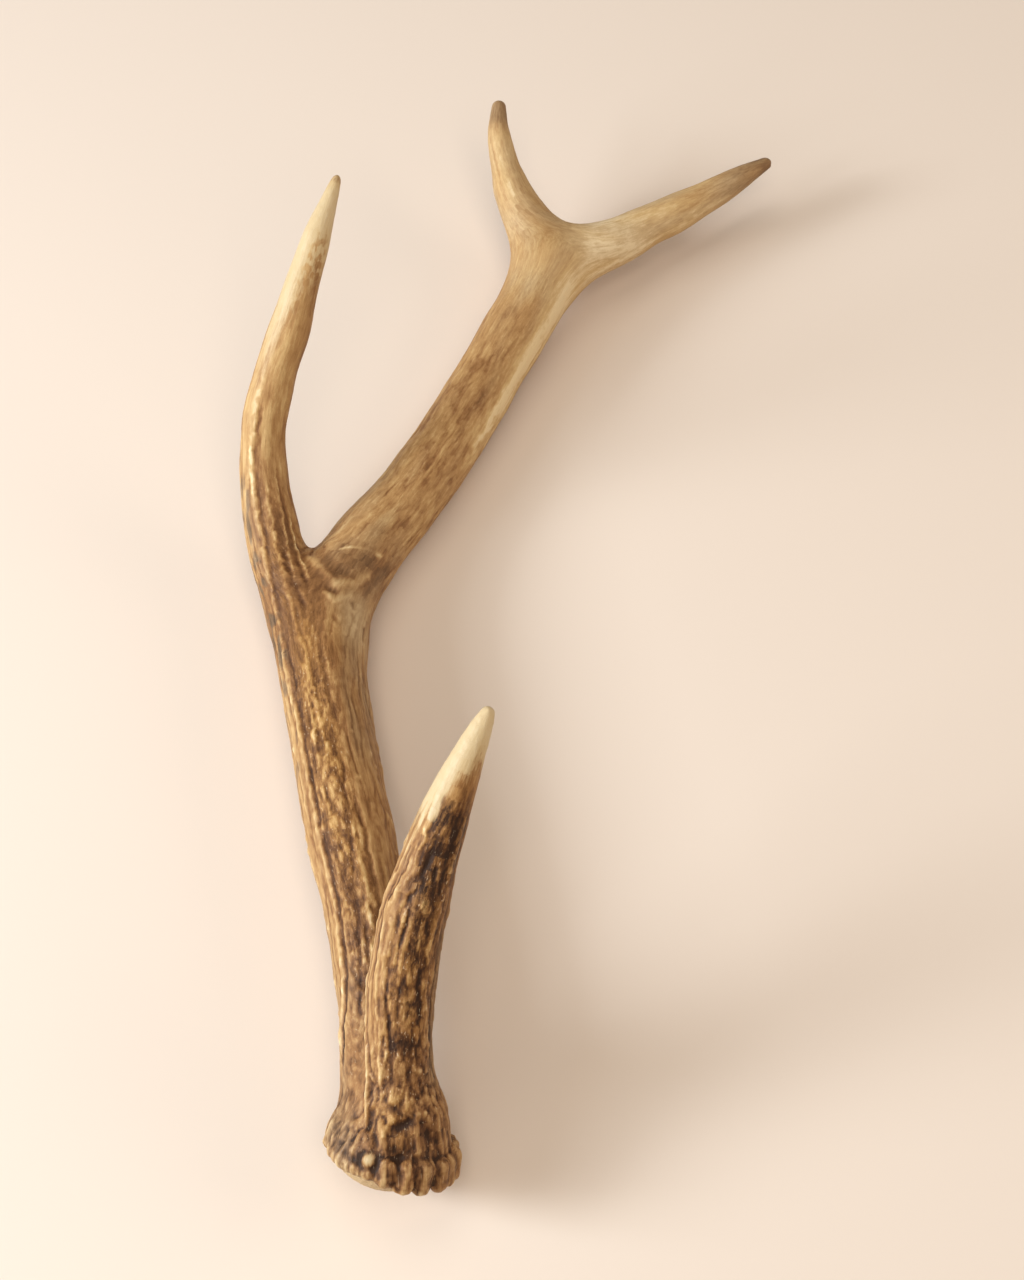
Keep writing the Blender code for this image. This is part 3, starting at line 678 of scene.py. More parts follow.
# %% Ridges drawn one by one
DRAWN = {
    # branch: line of (along, angle), half width, height, how pale
    "beam": [
        ([(36, -72), (67, -47), (95, -40), (120, -38), (150, -40), (179, -41), (193, -46), (212, -53)],
         1.3, 0.6, 1.15),
        ([(90, -58), (130, -55), (180, -56), (212, -66)], 1.0, 0.25, 0.35),
        ([(36, -63), (67, -40), (95, -33), (120, -31), (150, -33), (179, -34), (197, -36), (212, -44)],
         1.0, -0.75, -1.6),
        ([(100, -24), (150, -25), (185, -27), (210, -35)], 2.0, -0.25, -0.35),
        ([(84, -30), (100, -24), (134, -20), (158, -18), (182, -16)], 0.8, 0.3, 0.35),
        ([(150, -6), (172, -5), (187, -7), (206, -17)], 1.0, 0.35, 0.6),
        ([(150, 12), (180, 13), (196, 9), (208, 0)], 1.2, -0.35, -0.5),
        ([(50, -24), (84, -11), (100, -5), (118, 4), (134, 9), (152, 12)], 0.9, -0.6, -0.9),
        ([(60, 0), (84, 7), (97, 11), (115, 11), (138, 6)], 1.2, 0.5, 0.6),
        ([(70, 18), (97, 23), (120, 25), (140, 20)], 1.0, -0.5, -0.8),
        ([(80, 38), (102, 43), (120, 45), (138, 42)], 1.5, 0.4, 0.5),
        ([(20, -52), (45, -76), (80, -62), (105, -52)], 0.7, -0.35, -0.6),
        ([(15, -78), (45, -92), (90, -78), (150, -72)], 0.7, -0.35, -0.6),
        ([(290, 52), (330, 50), (365, 52), (400, 50), (432, 46)], 1.8, 0.3, 0.45),
        ([(335, 54), (365, 56), (400, 54), (430, 48)], 1.7, 0.15, 0.75),
        ([(345, 72), (375, 74), (405, 72), (428, 66)], 1.0, -0.2, -0.7),
        ([(300, -76), (350, -78), (400, -70)], 1.5, 0.2, 0.4),
    ],
    "trez": [
        ([(5, -35), (21, -30), (34, -26), (45, -24), (60, -19), (78, -20), (97, -24), (112, -23),
          (128, -21)], 1.5, 0.45, 0.9),
        ([(3, -27), (18, -24), (33, -20), (48, -15), (58, -10), (77, -9), (97, -11), (118, -8)],
         1.1, -0.45, -0.9),
        ([(0, -19), (18, -16), (33, -13), (58, -4), (77, -2), (95, -2)], 2.4, -0.2, -0.45),
        ([(0, -4), (8, -4), (22, 0), (36, 2), (62, 8), (85, 10)], 1.0, 0.4, 0.7),
        ([(0, 17), (19, 16), (35, 17), (48, 18), (66, 24)], 1.4, -0.4, -0.7),
        ([(18, 37), (27, 39), (44, 45), (57, 50), (72, 54)], 0.55, 0.35, 1.2),
        ([(18, 30), (30, 33), (44, 39), (57, 43), (72, 47)], 0.8, -0.4, -0.8),
        ([(34, 20), (44, 24), (54, 30), (66, 35), (88, 36)], 0.55, 0.3, 0.7),
        ([(40, 34), (56, 37), (75, 44), (100, 40)], 0.8, -0.25, -0.5),
        ([(0, 31), (5, 31), (13, 28), (27, 21)], 0.8, 0.5, 1.1),
        ([(2, 24), (14, 22), (26, 15)], 1.6, -0.4, -0.9),
    ],
    "brow": [
        ([(20, -42), (35, -57), (51, -86), (70, -87), (87, -88), (96, -78), (105, -61), (120, -50)],
         0.8, 0.6, 0.6),
        ([(20, -33), (35, -47), (51, -74), (70, -77), (87, -78), (97, -66), (106, -50)],
         0.8, -0.5, -0.9),
        ([(30, -24), (50, -31), (60, -44), (83, -53), (92, -56), (98, -41), (105, -27), (120, -25),
          (130, -36)], 1.0, 0.6, 0.95),
        ([(40, -40), (57, -56), (75, -62), (92, -68), (104, -44), (118, -36)], 0.8, -0.55, -1.0),
        ([(45, -16), (60, -30), (75, -36), (90, -38), (100, -20), (114, -12)], 1.3, 0.35, 0.7),
        ([(42, -10), (60, -20), (75, -26), (92, -26), (104, -6)], 0.8, -0.5, -0.9),
        ([(40, 60), (66, 50), (83, 42), (96, 49), (107, 57), (128, 52)], 1.1, 0.45, 0.6),
        ([(55, 38), (83, 29), (100, 34), (117, 38), (132, 34)], 1.3, -0.5, -0.8),
        ([(30, 74), (60, 70), (100, 74), (130, 70)], 0.9, -0.45, -0.7),
        ([(30, 95), (70, 90), (110, 92)], 1.1, 0.4, 0.4),
        ([(106, -37), (114, -35), (129, -31)], 1.0, 0.25, 1.9),
    ],
    "inner": [([(20, -20), (35, -2), (50, -12), (66, -30)], 0.9, 0.15, 0.9),
              ([(20, -40), (40, -30), (60, -48)], 0.8, -0.15, -0.5)],
    "outer": [([(15, 60), (50, 52), (90, 50)], 1.3, 0.15, 0.6)],
}
FADE = 8.0                       # over which a drawn ridge starts and ends
NEAR = 4.0                       # how far from its own branch a drawn ridge still shows


def line_strength(name, line, half_width):
    """How much each point is on a drawn line, from nought to one."""
    gap, _, along, right, front = surveys[name]
    stations, angles = zip(*line)
    off = turned_from(name, np.interp(along, stations, angles))
    across = np.radians(off) * np.hypot(right, front) + wobble
    inside = ramp(along, stations[0] - FADE, stations[0] + FADE) if stations[0] > 0 else 1.0
    inside = inside * (1 - ramp(along, stations[-1] - FADE, stations[-1] + FADE))
    return np.exp(-(across / half_width) ** 2) * inside * (1 - ramp(gap, 0.5 * NEAR, NEAR))


pale = np.zeros(len(base))
wobble = 0.7 * waves.at(grain / (6.0, 6.0, 5.0) + 77.0)
wobble += 0.35 * waves.at(grain / (3.0, 3.0, 2.6) + 21.0)
beading = 0.45 + 0.55 * ramp(waves.at(grain / (3.0, 3.0, 3.6) + 81.0), -0.45, 0.35)
for name, lines in DRAWN.items():
    for line, half_width, rise, paleness in lines:
        strength = line_strength(name, line, half_width)
        broken = beading if rise > 0 else 0.6 + 0.4 * beading
        height = height * (1 - 0.5 * strength) + rise * strength * broken
        pale += paleness * strength * broken
print("drawn ridges cover", round(float((np.abs(pale) > 0.3).mean() * 100), 1), "% of the skin")

# %% [markdown]
# The web at the middle fork is folded like the skin inside a bent elbow, and low on the
# antler the ridges are strung with beads, the pearls. Folds are short lines in space; beads
# are small domes at seeded places.

# %% Folds of the fork and ribs of the burr
BIG_PEARL = [(-8.4, -8.8, 41.1), (-8.2, -8.3, 41.4)]
FOLDS = [
    # line of points from the foot, half width, height, how pale: first the fork
    ([(-40, 249, 34), (-34, 241, 36), (-29, 235, 37), (-21, 237, 34), (-17, 242, 31)], 2.1, 0.6, 0.75),
    ([(-33, 230, 37), (-29, 226, 38), (-24, 230, 34)], 1.6, 0.5, 0.7),
    ([(-35, 252, 32), (-31, 244, 34), (-26, 241, 35)], 2.4, -0.4, -0.4),
    ([(-32, 232, 37), (-29, 231, 37)], 1.4, -0.5, -0.8),
    ([(-22, 227, 34), (-21, 225, 34)], 1.4, -0.45, -0.6),
    ([(-29, 218, 38), (-27, 216, 38)], 1.2, -0.35, -0.5),
    ([(-22, 222, 34), (-21, 219, 34)], 1.2, -0.35, -0.5),
    ([(-18, 218, 28), (-18, 213, 28)], 1.2, -0.4, -0.7),
    ([(-28, 253, 34), (-24, 254, 34), (-20, 254, 33), (-16, 254, 31)], 0.6, 0.3, 3.0),
    ([(-13, 253, 30), (-12, 253, 29)], 1.0, 0.35, 3.6),
    # ribs that run down to the knobs of the burr
    ([(-9.2, 29.4, 53.2), (-9.7, 19.7, 48.4), (-9.3, 12.6, 44.3), (-9.4, 3.4, 42.6)], 0.8, 0.8, 0.3),
    ([(-1.7, 25.7, 58.0), (-3.6, 20.4, 52.9), (-4.4, 16.3, 48.6)], 0.9, 0.7, 0.6),
    ([(-7.8, 20.2, 49.2), (-5.2, 16.4, 48.4)], 0.7, 0.6, 0.8),
    ([(-2.2, 2.3, 43.7), (-3.2, -1.5, 42.2), (-2.1, -6.3, 39.9), (-1.7, -9.9, 39.5)], 1.3, 1.0, 0.4),
    ([(9.3, 6.9, 44.6), (8.9, 0.4, 41.5), (9.2, -4.7, 38.2)], 1.2, 0.9, 0.3),
    ([(15.5, 10.2, 40.4), (16.1, 3.4, 36.2), (17.7, -3.9, 31.2)], 1.3, 1.0, 0.3),
    # hollows between them, dark with dirt and with painted shade
    ([(-6.9, 8.0, 44.6), (-7.2, 5.4, 43.8), (-7.9, 2.9, 42.4)], 1.6, -0.9, -0.8),
    ([(2.2, 2.2, 44.3), (4.3, 3.0, 44.0), (6.4, 4.1, 44.1)], 2.0, -1.1, -1.0),
    ([(0.7, -4.8, 40.7), (2.9, -7.4, 39.5)], 1.9, -1.0, -0.9),
    ([(11.4, 4.3, 42.3), (12.7, 2.2, 39.7), (13.7, 0.2, 37.1)], 2.0, -1.1, -0.9),
    ([(-17.2, -0.3, 36.0), (-16.0, 3.0, 37.0)], 1.6, -0.8, -0.8),
    # small bumps, and the big pearl on the rim
    ([(-3.3, 13.2, 47.9), (-3.0, 13.9, 48.2)], 0.9, 0.5, 1.3),
    ([(0.0, 10.5, 48.1), (0.4, 11.4, 48.3)], 1.8, 0.6, 0.5),
    ([(0.4, 5.1, 45.4), (0.5, 6.0, 45.8)], 1.7, 0.8, 0.8),
    (BIG_PEARL, 3.8, -0.3, -1.3),
    (BIG_PEARL, 2.5, 0.4, 2.8),
]


def distance_to_line(points, line):
    """Distance from each point to a line of straight pieces."""
    best = np.full(len(points), FAR)
    for start, end in zip(np.array(line, float), np.array(line[1:], float)):
        span = end - start
        along = np.clip((points - start) @ span / (span @ span), 0.0, 1.0)
        gap = np.linalg.norm(points - start - along[:, None] * span, axis=1)
        best = np.minimum(best, gap)
    return best


for line, half_width, rise, paleness in FOLDS:
    closeness = np.exp(-(distance_to_line(base, line) / half_width) ** 2) * (0.85 + 0.15 * beading)
    height = height * (1 - 0.7 * closeness) + rise * closeness
    pale += paleness * closeness
print(len(FOLDS), "folds, ribs, hollows and bumps")

# %% Pearls
PEARLS = 150
PEARL_SEED = 5
PEARLS_END = 170.0               # along the grain; beyond this the antler is not beaded
PEARL_SIZE = (0.7, 1.5)          # least and most half width, in millimetres
PEARL_WITHIN = 6.0               # no pearl reaches further than this
picker = np.random.default_rng(PEARL_SEED)
beady = np.flatnonzero((grain[:, 2] < PEARLS_END) & (rough > 0.7) & (burr_height > 6))
pearls = np.zeros(len(base))
for index in picker.choice(beady, PEARLS, replace=False):
    size = picker.uniform(*PEARL_SIZE)
    near = np.flatnonzero(np.abs(base[:, 1] - base[index, 1]) < PEARL_WITHIN)
    offset = (grain[near] - grain[index]) / (size, size, size * picker.uniform(1.0, 2.6))
    dome = np.exp(-(offset ** 2).sum(axis=1))
    pearls[near] = np.maximum(pearls[near], dome * size * 0.5)
height += pearls
pale += 0.9 * pearls
print(PEARLS, "pearls")

# %% [markdown]
# The burr is the roughest part: every knob is itself lumpy, and the domed seal beneath is
# finely porous. Where the antler touches the table it has been rubbed, so the relief dies
# away there and the skin stays on the floor.

# %% The burr's own relief
CROWN_HIGHLIGHT_WIDTH = 3.2                # half width, in degrees, of the painted highlight down the crown of a knob
GAP_DEPTH = 0.8
on_burr = 1 - ramp(burr_height, 4.0, 16.0)
among_knobs = 1 - ramp(burr_height, 5.0, 11.0)
knob_gap = knob_field(base)[0]
turn = burr_turn(base)
on_flange = ramp(turn, 122, 136) * (1 - ramp(turn, 185, 205))
between = among_knobs * ramp(knob_gap, 0.2, 1.2) * (1 - ramp(knob_gap, 1.4, 3.4))
between *= 1 - 0.7 * on_flange
# a painted highlight down the middle of each knob's crown
crown_highlight = sum(np.exp(-((turn - knob[0]) / CROWN_HIGHLIGHT_WIDTH) ** 2) for knob in KNOBS).clip(0, 1)
crown_highlight *= 1 - ramp(knob_gap, 0.1, 0.8)
height -= GAP_DEPTH * between
# crowns are painted lighter as highlight; the gaps between knobs are darker, partly dirt and partly
# painted shade
pale += among_knobs * (1.1 * crown_highlight - 0.2) - 1.6 * between
on_seal = ramp(below_seal(base)[0], -2.0, -0.8) * ramp(knob_gap, 0.3, 1.2)
fluted = np.stack([turn / 4.0, burr_height / 9.0, np.full(len(base), 3.3)], axis=1)
pearly = np.exp(-(distance_to_line(base, BIG_PEARL) / 2.6) ** 2)
burr_noise = 0.30 * waves.at(fluted) + 0.18 * waves.at(base / 2.6 + 9.0)
burr_noise += 0.12 * waves.at(base / 1.3 + 2.0)
height += on_burr * burr_noise * (1 - pearly)
height = height * (1 - on_seal) + on_seal * 0.25 * waves.at(base / 1.4 + 6.0)
pale *= 1 - on_seal
print("the seal covers", round(float(on_seal.mean() * 100), 1), "% of the skin")

# %% The rubbed underside, and the final skin
HOLLOW_AT = (-8.0, 280.0)        # the underside is hollow here, so the beam touches on either side
HOLLOW_DEPTH = 2.0
HOLLOW_RADIUS = 26.0
HOLLOW_HEIGHT = 10.0
RUBBED_HEIGHT = 6.0              # above this the relief stands at its full height
LOWEST, HIGHEST = -2.2, 1.6      # of all relief
height *= 0.25 + 0.75 * ramp(base[:, 2], 0.0, RUBBED_HEIGHT)
height = np.clip(height, LOWEST, HIGHEST)
hollow = np.exp(-(np.hypot(base[:, 0] - HOLLOW_AT[0], base[:, 1] - HOLLOW_AT[1]) / HOLLOW_RADIUS) ** 2)
height -= HOLLOW_DEPTH * hollow * (1 - ramp(base[:, 2], 0.0, HOLLOW_HEIGHT))
points = base + way_out * height[:, None]
points[:, 2] = np.maximum(points[:, 2], 0.0)
set_mesh_points(skin, points)
print("final relief from", height.min().round(2), "to", height.max().round(2), "mm")

# %% [markdown]
# ## What the finish needs to know
# Colour on an antler follows its shape. Dirt and old blood stain the grooves dark, handling
# polishes the ridges pale, and the points are ivory. So the skin carries a few numbers to
# its finish: how high a point stands among its neighbours, how ivory and how sooty it is.

# %% Height among neighbours
edges = read_rows(skin.edges, "vertices", 2, int)
degree = np.bincount(edges.ravel(), minlength=len(base))


def evened(values, rounds):
    """Values averaged with their neighbours a number of times."""
    for _ in range(rounds):
        total = np.bincount(edges[:, 0], values[edges[:, 1]], len(base))
        total += np.bincount(edges[:, 1], values[edges[:, 0]], len(base))
        values = 0.5 * values + 0.5 * total / degree
    return values


PROUD_OF_A_ROD = 0.15            # how proud a point on a plain rod would be, in millimetres
crest = np.clip((height - evened(height, 3)) * 5.0, -1.0, 1.0)
proud = np.stack([points[:, k] - evened(points[:, k], 24) for k in range(3)], axis=1)
proud = np.einsum("ij,ij->i", proud, way_out) - PROUD_OF_A_ROD
swell = np.clip(proud * 1.3, -1.0, 1.0)
print("crest spans", crest.min().round(2), crest.max().round(2))
print("proud by", np.percentile(proud, [1, 50, 99]).round(2), "mm")

# %% [markdown]
# Besides that there are stains that no rule foretells: where the hand polished it, where it
# lay in the earth. They are soft spots too, each with a change of tone and of greyness, and
# a few places glow golden instead. A few of the spots are painted light rather than stains:
# they lighten the beam's underside and the shaded edges of the beam and the middle tine by
# the fork, and put a paler, greyer sheen on the lit side of the first tine. They are soft spots too, each
# with a change of tone and of greyness, and
# a few places glow golden instead.

# %% Stains and painted light: where the antler is darker, paler, greyer
STAINS_AND_PAINTED_LIGHT = [
    # branch, along, angle, half length, half angle, how pale, how grey
    ("beam", 45, -45, 60, 50, 0.00, 0.20), ("beam", 10, -45, 22, 40, 0.00, 0.25),
    ("beam", 115, -75, 110, 28, 0.12, 0.10),
    ("beam", 140, -8, 80, 32, -0.10, 0.00), ("beam", 110, 28, 45, 30, 0.06, 0.00),
    ("beam", 190, 55, 45, 38, 0.04, 0.45), ("beam", 240, 10, 22, 60, -0.08, 0.45),
    ("beam", 285, -20, 25, 60, 0.08, 0.10), ("beam", 330, 0, 26, 110, -0.03, 0.10),
    ("beam", 390, 60, 60, 34, 0.25, 0.10), ("beam", 360, 0, 40, 180, 0.04, 0.00),
    ("beam", 376, -2, 24, 34, -0.11, 0.00), ("beam", 400, 64, 60, 26, 0.25, 0.15),
    ("beam", 388, 58, 46, 17, 0.26, -0.10), ("beam", 405, -10, 55, 60, 0.20, 0.35),
    ("beam", 440, 20, 26, 180, 0.19, 0.15), ("beam", 224, 34, 16, 44, 0.32, 0.30),
    # painted light: the spot at 285 along the beam, angle -88, lightens its shaded left edge by the fork
    ("beam", 300, 0, 50, 180, 0.13, 0.15), ("beam", 285, -88, 40, 26, 0.18, 0.10),
    ("beam", 266, 34, 12, 30, -0.13, 0.15), ("beam", 100, 180, 120, 70, 0.00, 0.50),
    ("beam", 0, 0, 22, 180, -0.13, 0.20), ("beam", 6, 10, 13, 34, -0.07, 0.00),
    # painted light: the spot at 330 along the beam, angle 180, lightens its underside as bounced light
    # would
    ("beam", 222, -24, 26, 22, -0.12, 0.00), ("beam", 330, 180, 110, 70, 0.10, 0.30),
    ("brow", 78, 25, 60, 58, -0.13, 0.05), ("brow", 118, 20, 20, 60, -0.18, 0.00),
    # painted sheen: the spot at 75 along the first tine, angle -60, makes its lit left side paler and
    # greyer
    ("brow", 75, -60, 50, 36, 0.13, 0.35), ("brow", 20, 10, 22, 80, 0.04, 0.35),
    ("brow", 60, 8, 16, 44, -0.10, 0.00), ("brow", 5, 15, 13, 60, -0.08, 0.00),
    ("brow", 60, 100, 60, 30, -0.05, 0.50), ("brow", 70, 180, 70, 60, -0.10, 0.40),
    ("trez", 110, -40, 60, 40, 0.18, 0.10), ("trez", 18, -20, 26, 60, -0.24, 0.10),
    ("trez", 62, -10, 26, 70, -0.13, 0.10), ("trez", 115, 36, 50, 40, 0.17, 0.00),
    ("trez", 160, 35, 20, 35, -0.05, 0.00), ("trez", 184, -10, 22, 60, 0.10, 0.00),
    # painted light: the spot at 25 along the middle tine, angle 85, lightens its shaded right edge by the
    # fork
    ("trez", 217, 0, 7, 180, -0.10, 0.90), ("trez", 25, 85, 30, 26, 0.12, 0.10),
    ("inner", 40, 0, 45, 180, 0.23, 0.35), ("inner", 78, 0, 12, 180, -0.20, 0.55),
    ("outer", 50, 0, 55, 180, 0.26, 0.40), ("outer", 16, 0, 30, 180, 0.17, 0.15),
    ("outer", 112, 0, 26, 180, -0.06, 0.45), ("outer", 120, 0, 12, 180, -0.12, 0.20),
]
GOLD = [
    # branch, along, angle, half length, half angle, how gold
    ("beam", 150, -6, 80, 30, 0.7), ("beam", 215, -24, 30, 20, 0.7), ("trez", 30, -4, 40, 18, 0.7),
    ("trez", 110, 0, 40, 60, 0.15), ("brow", 75, -10, 55, 70, 0.6), ("beam", 22, 5, 14, 30, 0.9),
    ("brow", 14, -5, 13, 40, 0.9), ("beam", 350, 0, 60, 90, 0.25), ("brow", 130, 20, 18, 60, 0.5),
]
print(len(STAINS_AND_PAINTED_LIGHT), "stains and", len(GOLD), "gold places")

# %% Tone and greyness
MIDDLE_TONE = 0.53               # 0 is nearly black, 1 is straw
DARKEST_UP_HIGH = 0.38           # above the foot, tones below this are drawn back towards it
PALEST_ON_BEAM = 0.60            # on the beam, tones above this likewise
LOWER_BROW_TONE = 0.36           # low on the first tine all tones are drawn towards this
top_tines = share_of["inner"] + share_of["outer"]
tone = MIDDLE_TONE + 0.22 * crest + 0.28 * swell + 0.18 * pale
tone += grainy * (0.12 * tint + 0.50 * (bead - 0.58))
tone += 0.13 * streaks(4.5, 18.0, 33.0, wander=1.0) + 0.10 * streaks(1.8, 7.0, 13.0)
smooth_top = top_tines + share_of["beam"] * ramp(along_on["beam"], 395.0, 430.0)
tone -= 0.4 * smooth_top * (tone - MIDDLE_TONE)
grey = np.zeros(len(base))
for *spot, paleness, greyness in STAINS_AND_PAINTED_LIGHT:
    strength = patch(*spot)
    tone += paleness * strength
    grey += greyness * strength
for *spot, gold in GOLD:
    grey -= gold * patch(*spot)
mottle = ramp(streaks(3.2, 9.0, 71.0), -0.05, 0.35)
strip = patch("trez", 45, -58, 62, 26) + patch("beam", 195, -62, 42, 20)
tone += strip * (0.08 - 0.24 * mottle)
grey += 0.9 * strip * mottle
grey = np.clip(grey + 0.35 * streaks(7.0, 26.0, 61.0), -1, 1)
up_high = top_tines + share_of["beam"] * ramp(along_on["beam"], 40.0, 100.0) + share_of["trez"]
tone += 0.6 * up_high * np.clip(DARKEST_UP_HIGH - tone, 0, 1)
tone -= (0.40 * share_of["beam"] + 0.10 * share_of["brow"]) * np.clip(tone - PALEST_ON_BEAM, 0, 1)
lower_brow = ramp(along_on["brow"], 4.0, 20.0) * (1 - ramp(along_on["brow"], 105.0, 125.0))
tone += 0.26 * share_of["brow"] * lower_brow * (LOWER_BROW_TONE - tone)
print("tone from", tone.min().round(2), "to", tone.max().round(2), "mean", tone.mean().round(2))

# %% [markdown]
# The points of the two long tines are polished down to ivory. The edge of the ivory is a line
# round the tine, further up on one side than on the other, and ragged along the grain. Soot
# is the blackened skin next to it on the first tine; it sits low, between the beads. The same
# mask also blackens the darkest furrows, and in the hollows of the burr that is partly
# painted shade.

# %% Ivory points, soot and painted shade
# angle round the tine, and how far along it the ivory starts there
EDGE_ON_BROW = [(-180, 126), (-90, 124), (-46, 129), (-26, 133), (-12, 141), (6, 146), (26, 151),
                (70, 152), (180, 126)]
EDGE_ON_TREZ = [(-180, 160), (-90, 152), (-20, 158), (10, 167), (40, 175), (90, 171), (180, 160)]
ivory = np.zeros(len(base))
for name, edge, soft in (("brow", EDGE_ON_BROW, 15.0), ("trez", EDGE_ON_TREZ, 34.0)):
    wanted = np.interp(angle_on[name], *zip(*edge))
    reached = along_on[name] - wanted + 5.0 * streaks(2.6, 14.0, 44.0)
    ivory += share_of[name] * ramp(reached, -soft, soft)
ivory *= 1 - 0.7 * share_of["trez"] * ramp(along_on["trez"], 206.0, 220.0)
ivory -= patch("trez", 174, 26, 17, 36) * ramp(streaks(1.5, 3.2, 83.0), -0.1, 0.3) * 0.75
stripes = ramp(streaks(2.2, 18.0, 29.0), -0.1, 0.3)
ivory += patch("brow", 122, -50, 14, 34) * stripes * 0.8 + patch("trez", 132, -38, 34, 30) * 0.4
ivory += 0.9 * np.exp(-(distance_to_line(base, BIG_PEARL) / 2.4) ** 2)
ivory = np.clip(ivory, 0, 1)
SOOT = [
    # branch, along, angle, half length, half angle
    ("brow", 133, -1, 5, 26), ("brow", 125, 1, 6, 24), ("brow", 110, 12, 8, 20), ("brow", 97, 18, 8, 22),
    ("brow", 60, 19, 5, 13), ("brow", 80, 22, 8, 14), ("brow", 122, 60, 14, 26),
]
speckled = 0.35 + 0.65 * ramp(-waves.at(grain / (2.6, 2.6, 4.0) + 3.0), -0.35, 0.2)
soot_and_shade = sum(patch(*spot) for spot in SOOT) * speckled
# the darkest furrows and hollows turn black too: dirt on the furrows, and partly painted shade in the
# burr's hollows
soot_and_shade += ramp(-pale, 0.9, 1.8) * 0.35
soot_and_shade = np.clip(soot_and_shade * (1 - ivory) * (1.25 - 0.95 * bead), 0, 1)
print("ivory over", round(float(ivory.mean() * 100), 1), "% of the skin")
print("soot over", round(float(soot_and_shade.mean() * 100), 1), "% of the skin")

# %% [markdown]
# ## Six pieces from one skin
# The solids are split at the forks, so the skin is too: each face goes to the piece on its
# side of the saw line. The pieces keep the whole skin's shading at their edges, so the
# joins don't show, and each is closed by a hidden cap.

# %% Which face belongs to which piece
CUTS = {
    # a point of the saw line, the way it faces, and the branches that lie beyond it
    "brow_tine": ((2.9, 43.5, 57.8), (0.05, 0.76, 0.65), ("brow",)),
    "trez_tine": ((-57.6, 264.0, 30.0), (-0.24, 0.91, 0.34), ("trez",)),
    "upper_beam": ((-21.0, 265.0, 16.9), (0.45, 0.89, 0.0), ("beam", "inner", "outer")),
    "inner_tine": ((52.4, 431.0, 29.0), (-0.42, 0.84, 0.34), ("inner",)),
    "outer_tine": ((86.0, 423.2, 23.0), (0.82, 0.57, 0.0), ("outer",)),
}
quads = read_rows(skin.polygons, "vertices", 4, int)
middles = base[quads].mean(axis=1)
owner = np.array(GRAIN_BRANCHES)[shares.argmax(axis=0)][quads[:, 0]]
piece_of = np.full(len(quads), "lower_beam", dtype=object)
for name, (centre, direction, owners) in CUTS.items():
    beyond = (middles - centre) @ unit(direction) > 0
    piece_of[beyond & np.isin(owner, owners)] = name
PIECES = ["lower_beam", *CUTS]
for name in PIECES:
    print(name, "has", int((piece_of == name).sum()), "faces")

# %% [markdown]
# Each piece becomes a mesh of its own. It takes along the numbers that the finish reads, and
# the whole skin's normals, so that light runs over the joins without a break.

# %% Building the pieces
normals = read_rows(skin.vertices, "normal", 3)
MASKS = {"tone": tone, "ivory": ivory, "soot_and_shade": soot_and_shade, "grey": grey, "grainy": grainy * rough,
         "crest": crest, "seal": on_seal}


def loops_of(quad_rows):
    """Rim loops of a patch of faces, as lists of point numbers."""
    sides = np.concatenate([quad_rows[:, [k, (k + 1) % 4]] for k in range(4)])
    known = dict.fromkeys(map(tuple, sides.tolist()))
    after = {one: two for one, two in known if (two, one) not in known}
    loops = []
    while after:
        start, spot = after.popitem()
        loop = [start]
        while spot != start and spot in after:
            loop.append(spot)
            spot = after.pop(spot)
        loops.append(loop)
    return loops


def taken(values, used, spare):
    """Values of a piece's own points, and noughts for the middles of its caps."""
    rows = values[used]
    return np.concatenate([rows, np.zeros((spare, *rows.shape[1:]))])


def build_piece(name):
    """One piece of the skin as an object of its own."""
    rows = quads[piece_of == name]
    caps = [loop[::-1] for loop in loops_of(rows) if len(loop) > 2]
    used = np.unique(rows)
    number = {old: new for new, old in enumerate(used)}
    place = (points[used] + FOOT_AT) * MM
    faces = [[number[v] for v in face] for face in rows.tolist()]
    centres = []
    for loop in caps:
        centre = len(place) + len(centres)
        ring = [number[v] for v in loop]
        centres.append(place[ring].mean(axis=0))
        faces += [[one, two, centre] for one, two in zip(ring, ring[1:] + ring[:1])]
    if centres:
        place = np.vstack([place, centres])
    mesh = bpy.data.meshes.new(name + "_skin")
    mesh.from_pydata(place.tolist(), [], faces)
    mesh.polygons.foreach_set("use_smooth", [True] * len(faces))
    for mask, values in MASKS.items():
        field = mesh.attributes.new(mask, "FLOAT", "POINT")
        field.data.foreach_set("value", taken(values, used, len(centres)))
    flow = mesh.attributes.new("grain", "FLOAT_VECTOR", "POINT")
    flow.data.foreach_set("vector", taken(grain, used, len(centres)).ravel())
    facing = taken(normals, used, len(centres))     # a nought lets Blender work the normal out
    mesh.normals_split_custom_set_from_vertices(facing.tolist())
    piece = add_object(name + "_skin", mesh)
    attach(piece, "root")
    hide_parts(name)
    return piece


pieces = {name: build_piece(name) for name in PIECES}
for name, piece in pieces.items():
    print(name, len(piece.data.polygons), "faces", [round(1000 * d) for d in piece.dimensions])

# %% [markdown]
# ## Shader sums in plain Python
# A finish is a small net of nodes. To keep it readable, a socket is wrapped so that it can
# be added, multiplied and so on, and one method makes every other node.

# %% A socket that can be reckoned with


class Wire:
    """An output socket that takes part in sums."""

    def __init__(self, finish, socket):
        self.finish = finish
        self.socket = socket

    def reckon(self, operation, first, second):
        """A Math node on two values or sockets."""
        return self.finish.node("ShaderNodeMath", {"operation": operation}, {0: first, 1: second})

    def __add__(self, other):
        return self.reckon("ADD", self, other)

    def __sub__(self, other):
        return self.reckon("SUBTRACT", self, other)

    def __rsub__(self, other):
        return self.reckon("SUBTRACT", other, self)

    def __mul__(self, other):
        return self.reckon("MULTIPLY", self, other)

    __radd__ = __add__
    __rmul__ = __mul__


print("a wire can be added to, taken away and multiplied")

# %% One material and its nodes


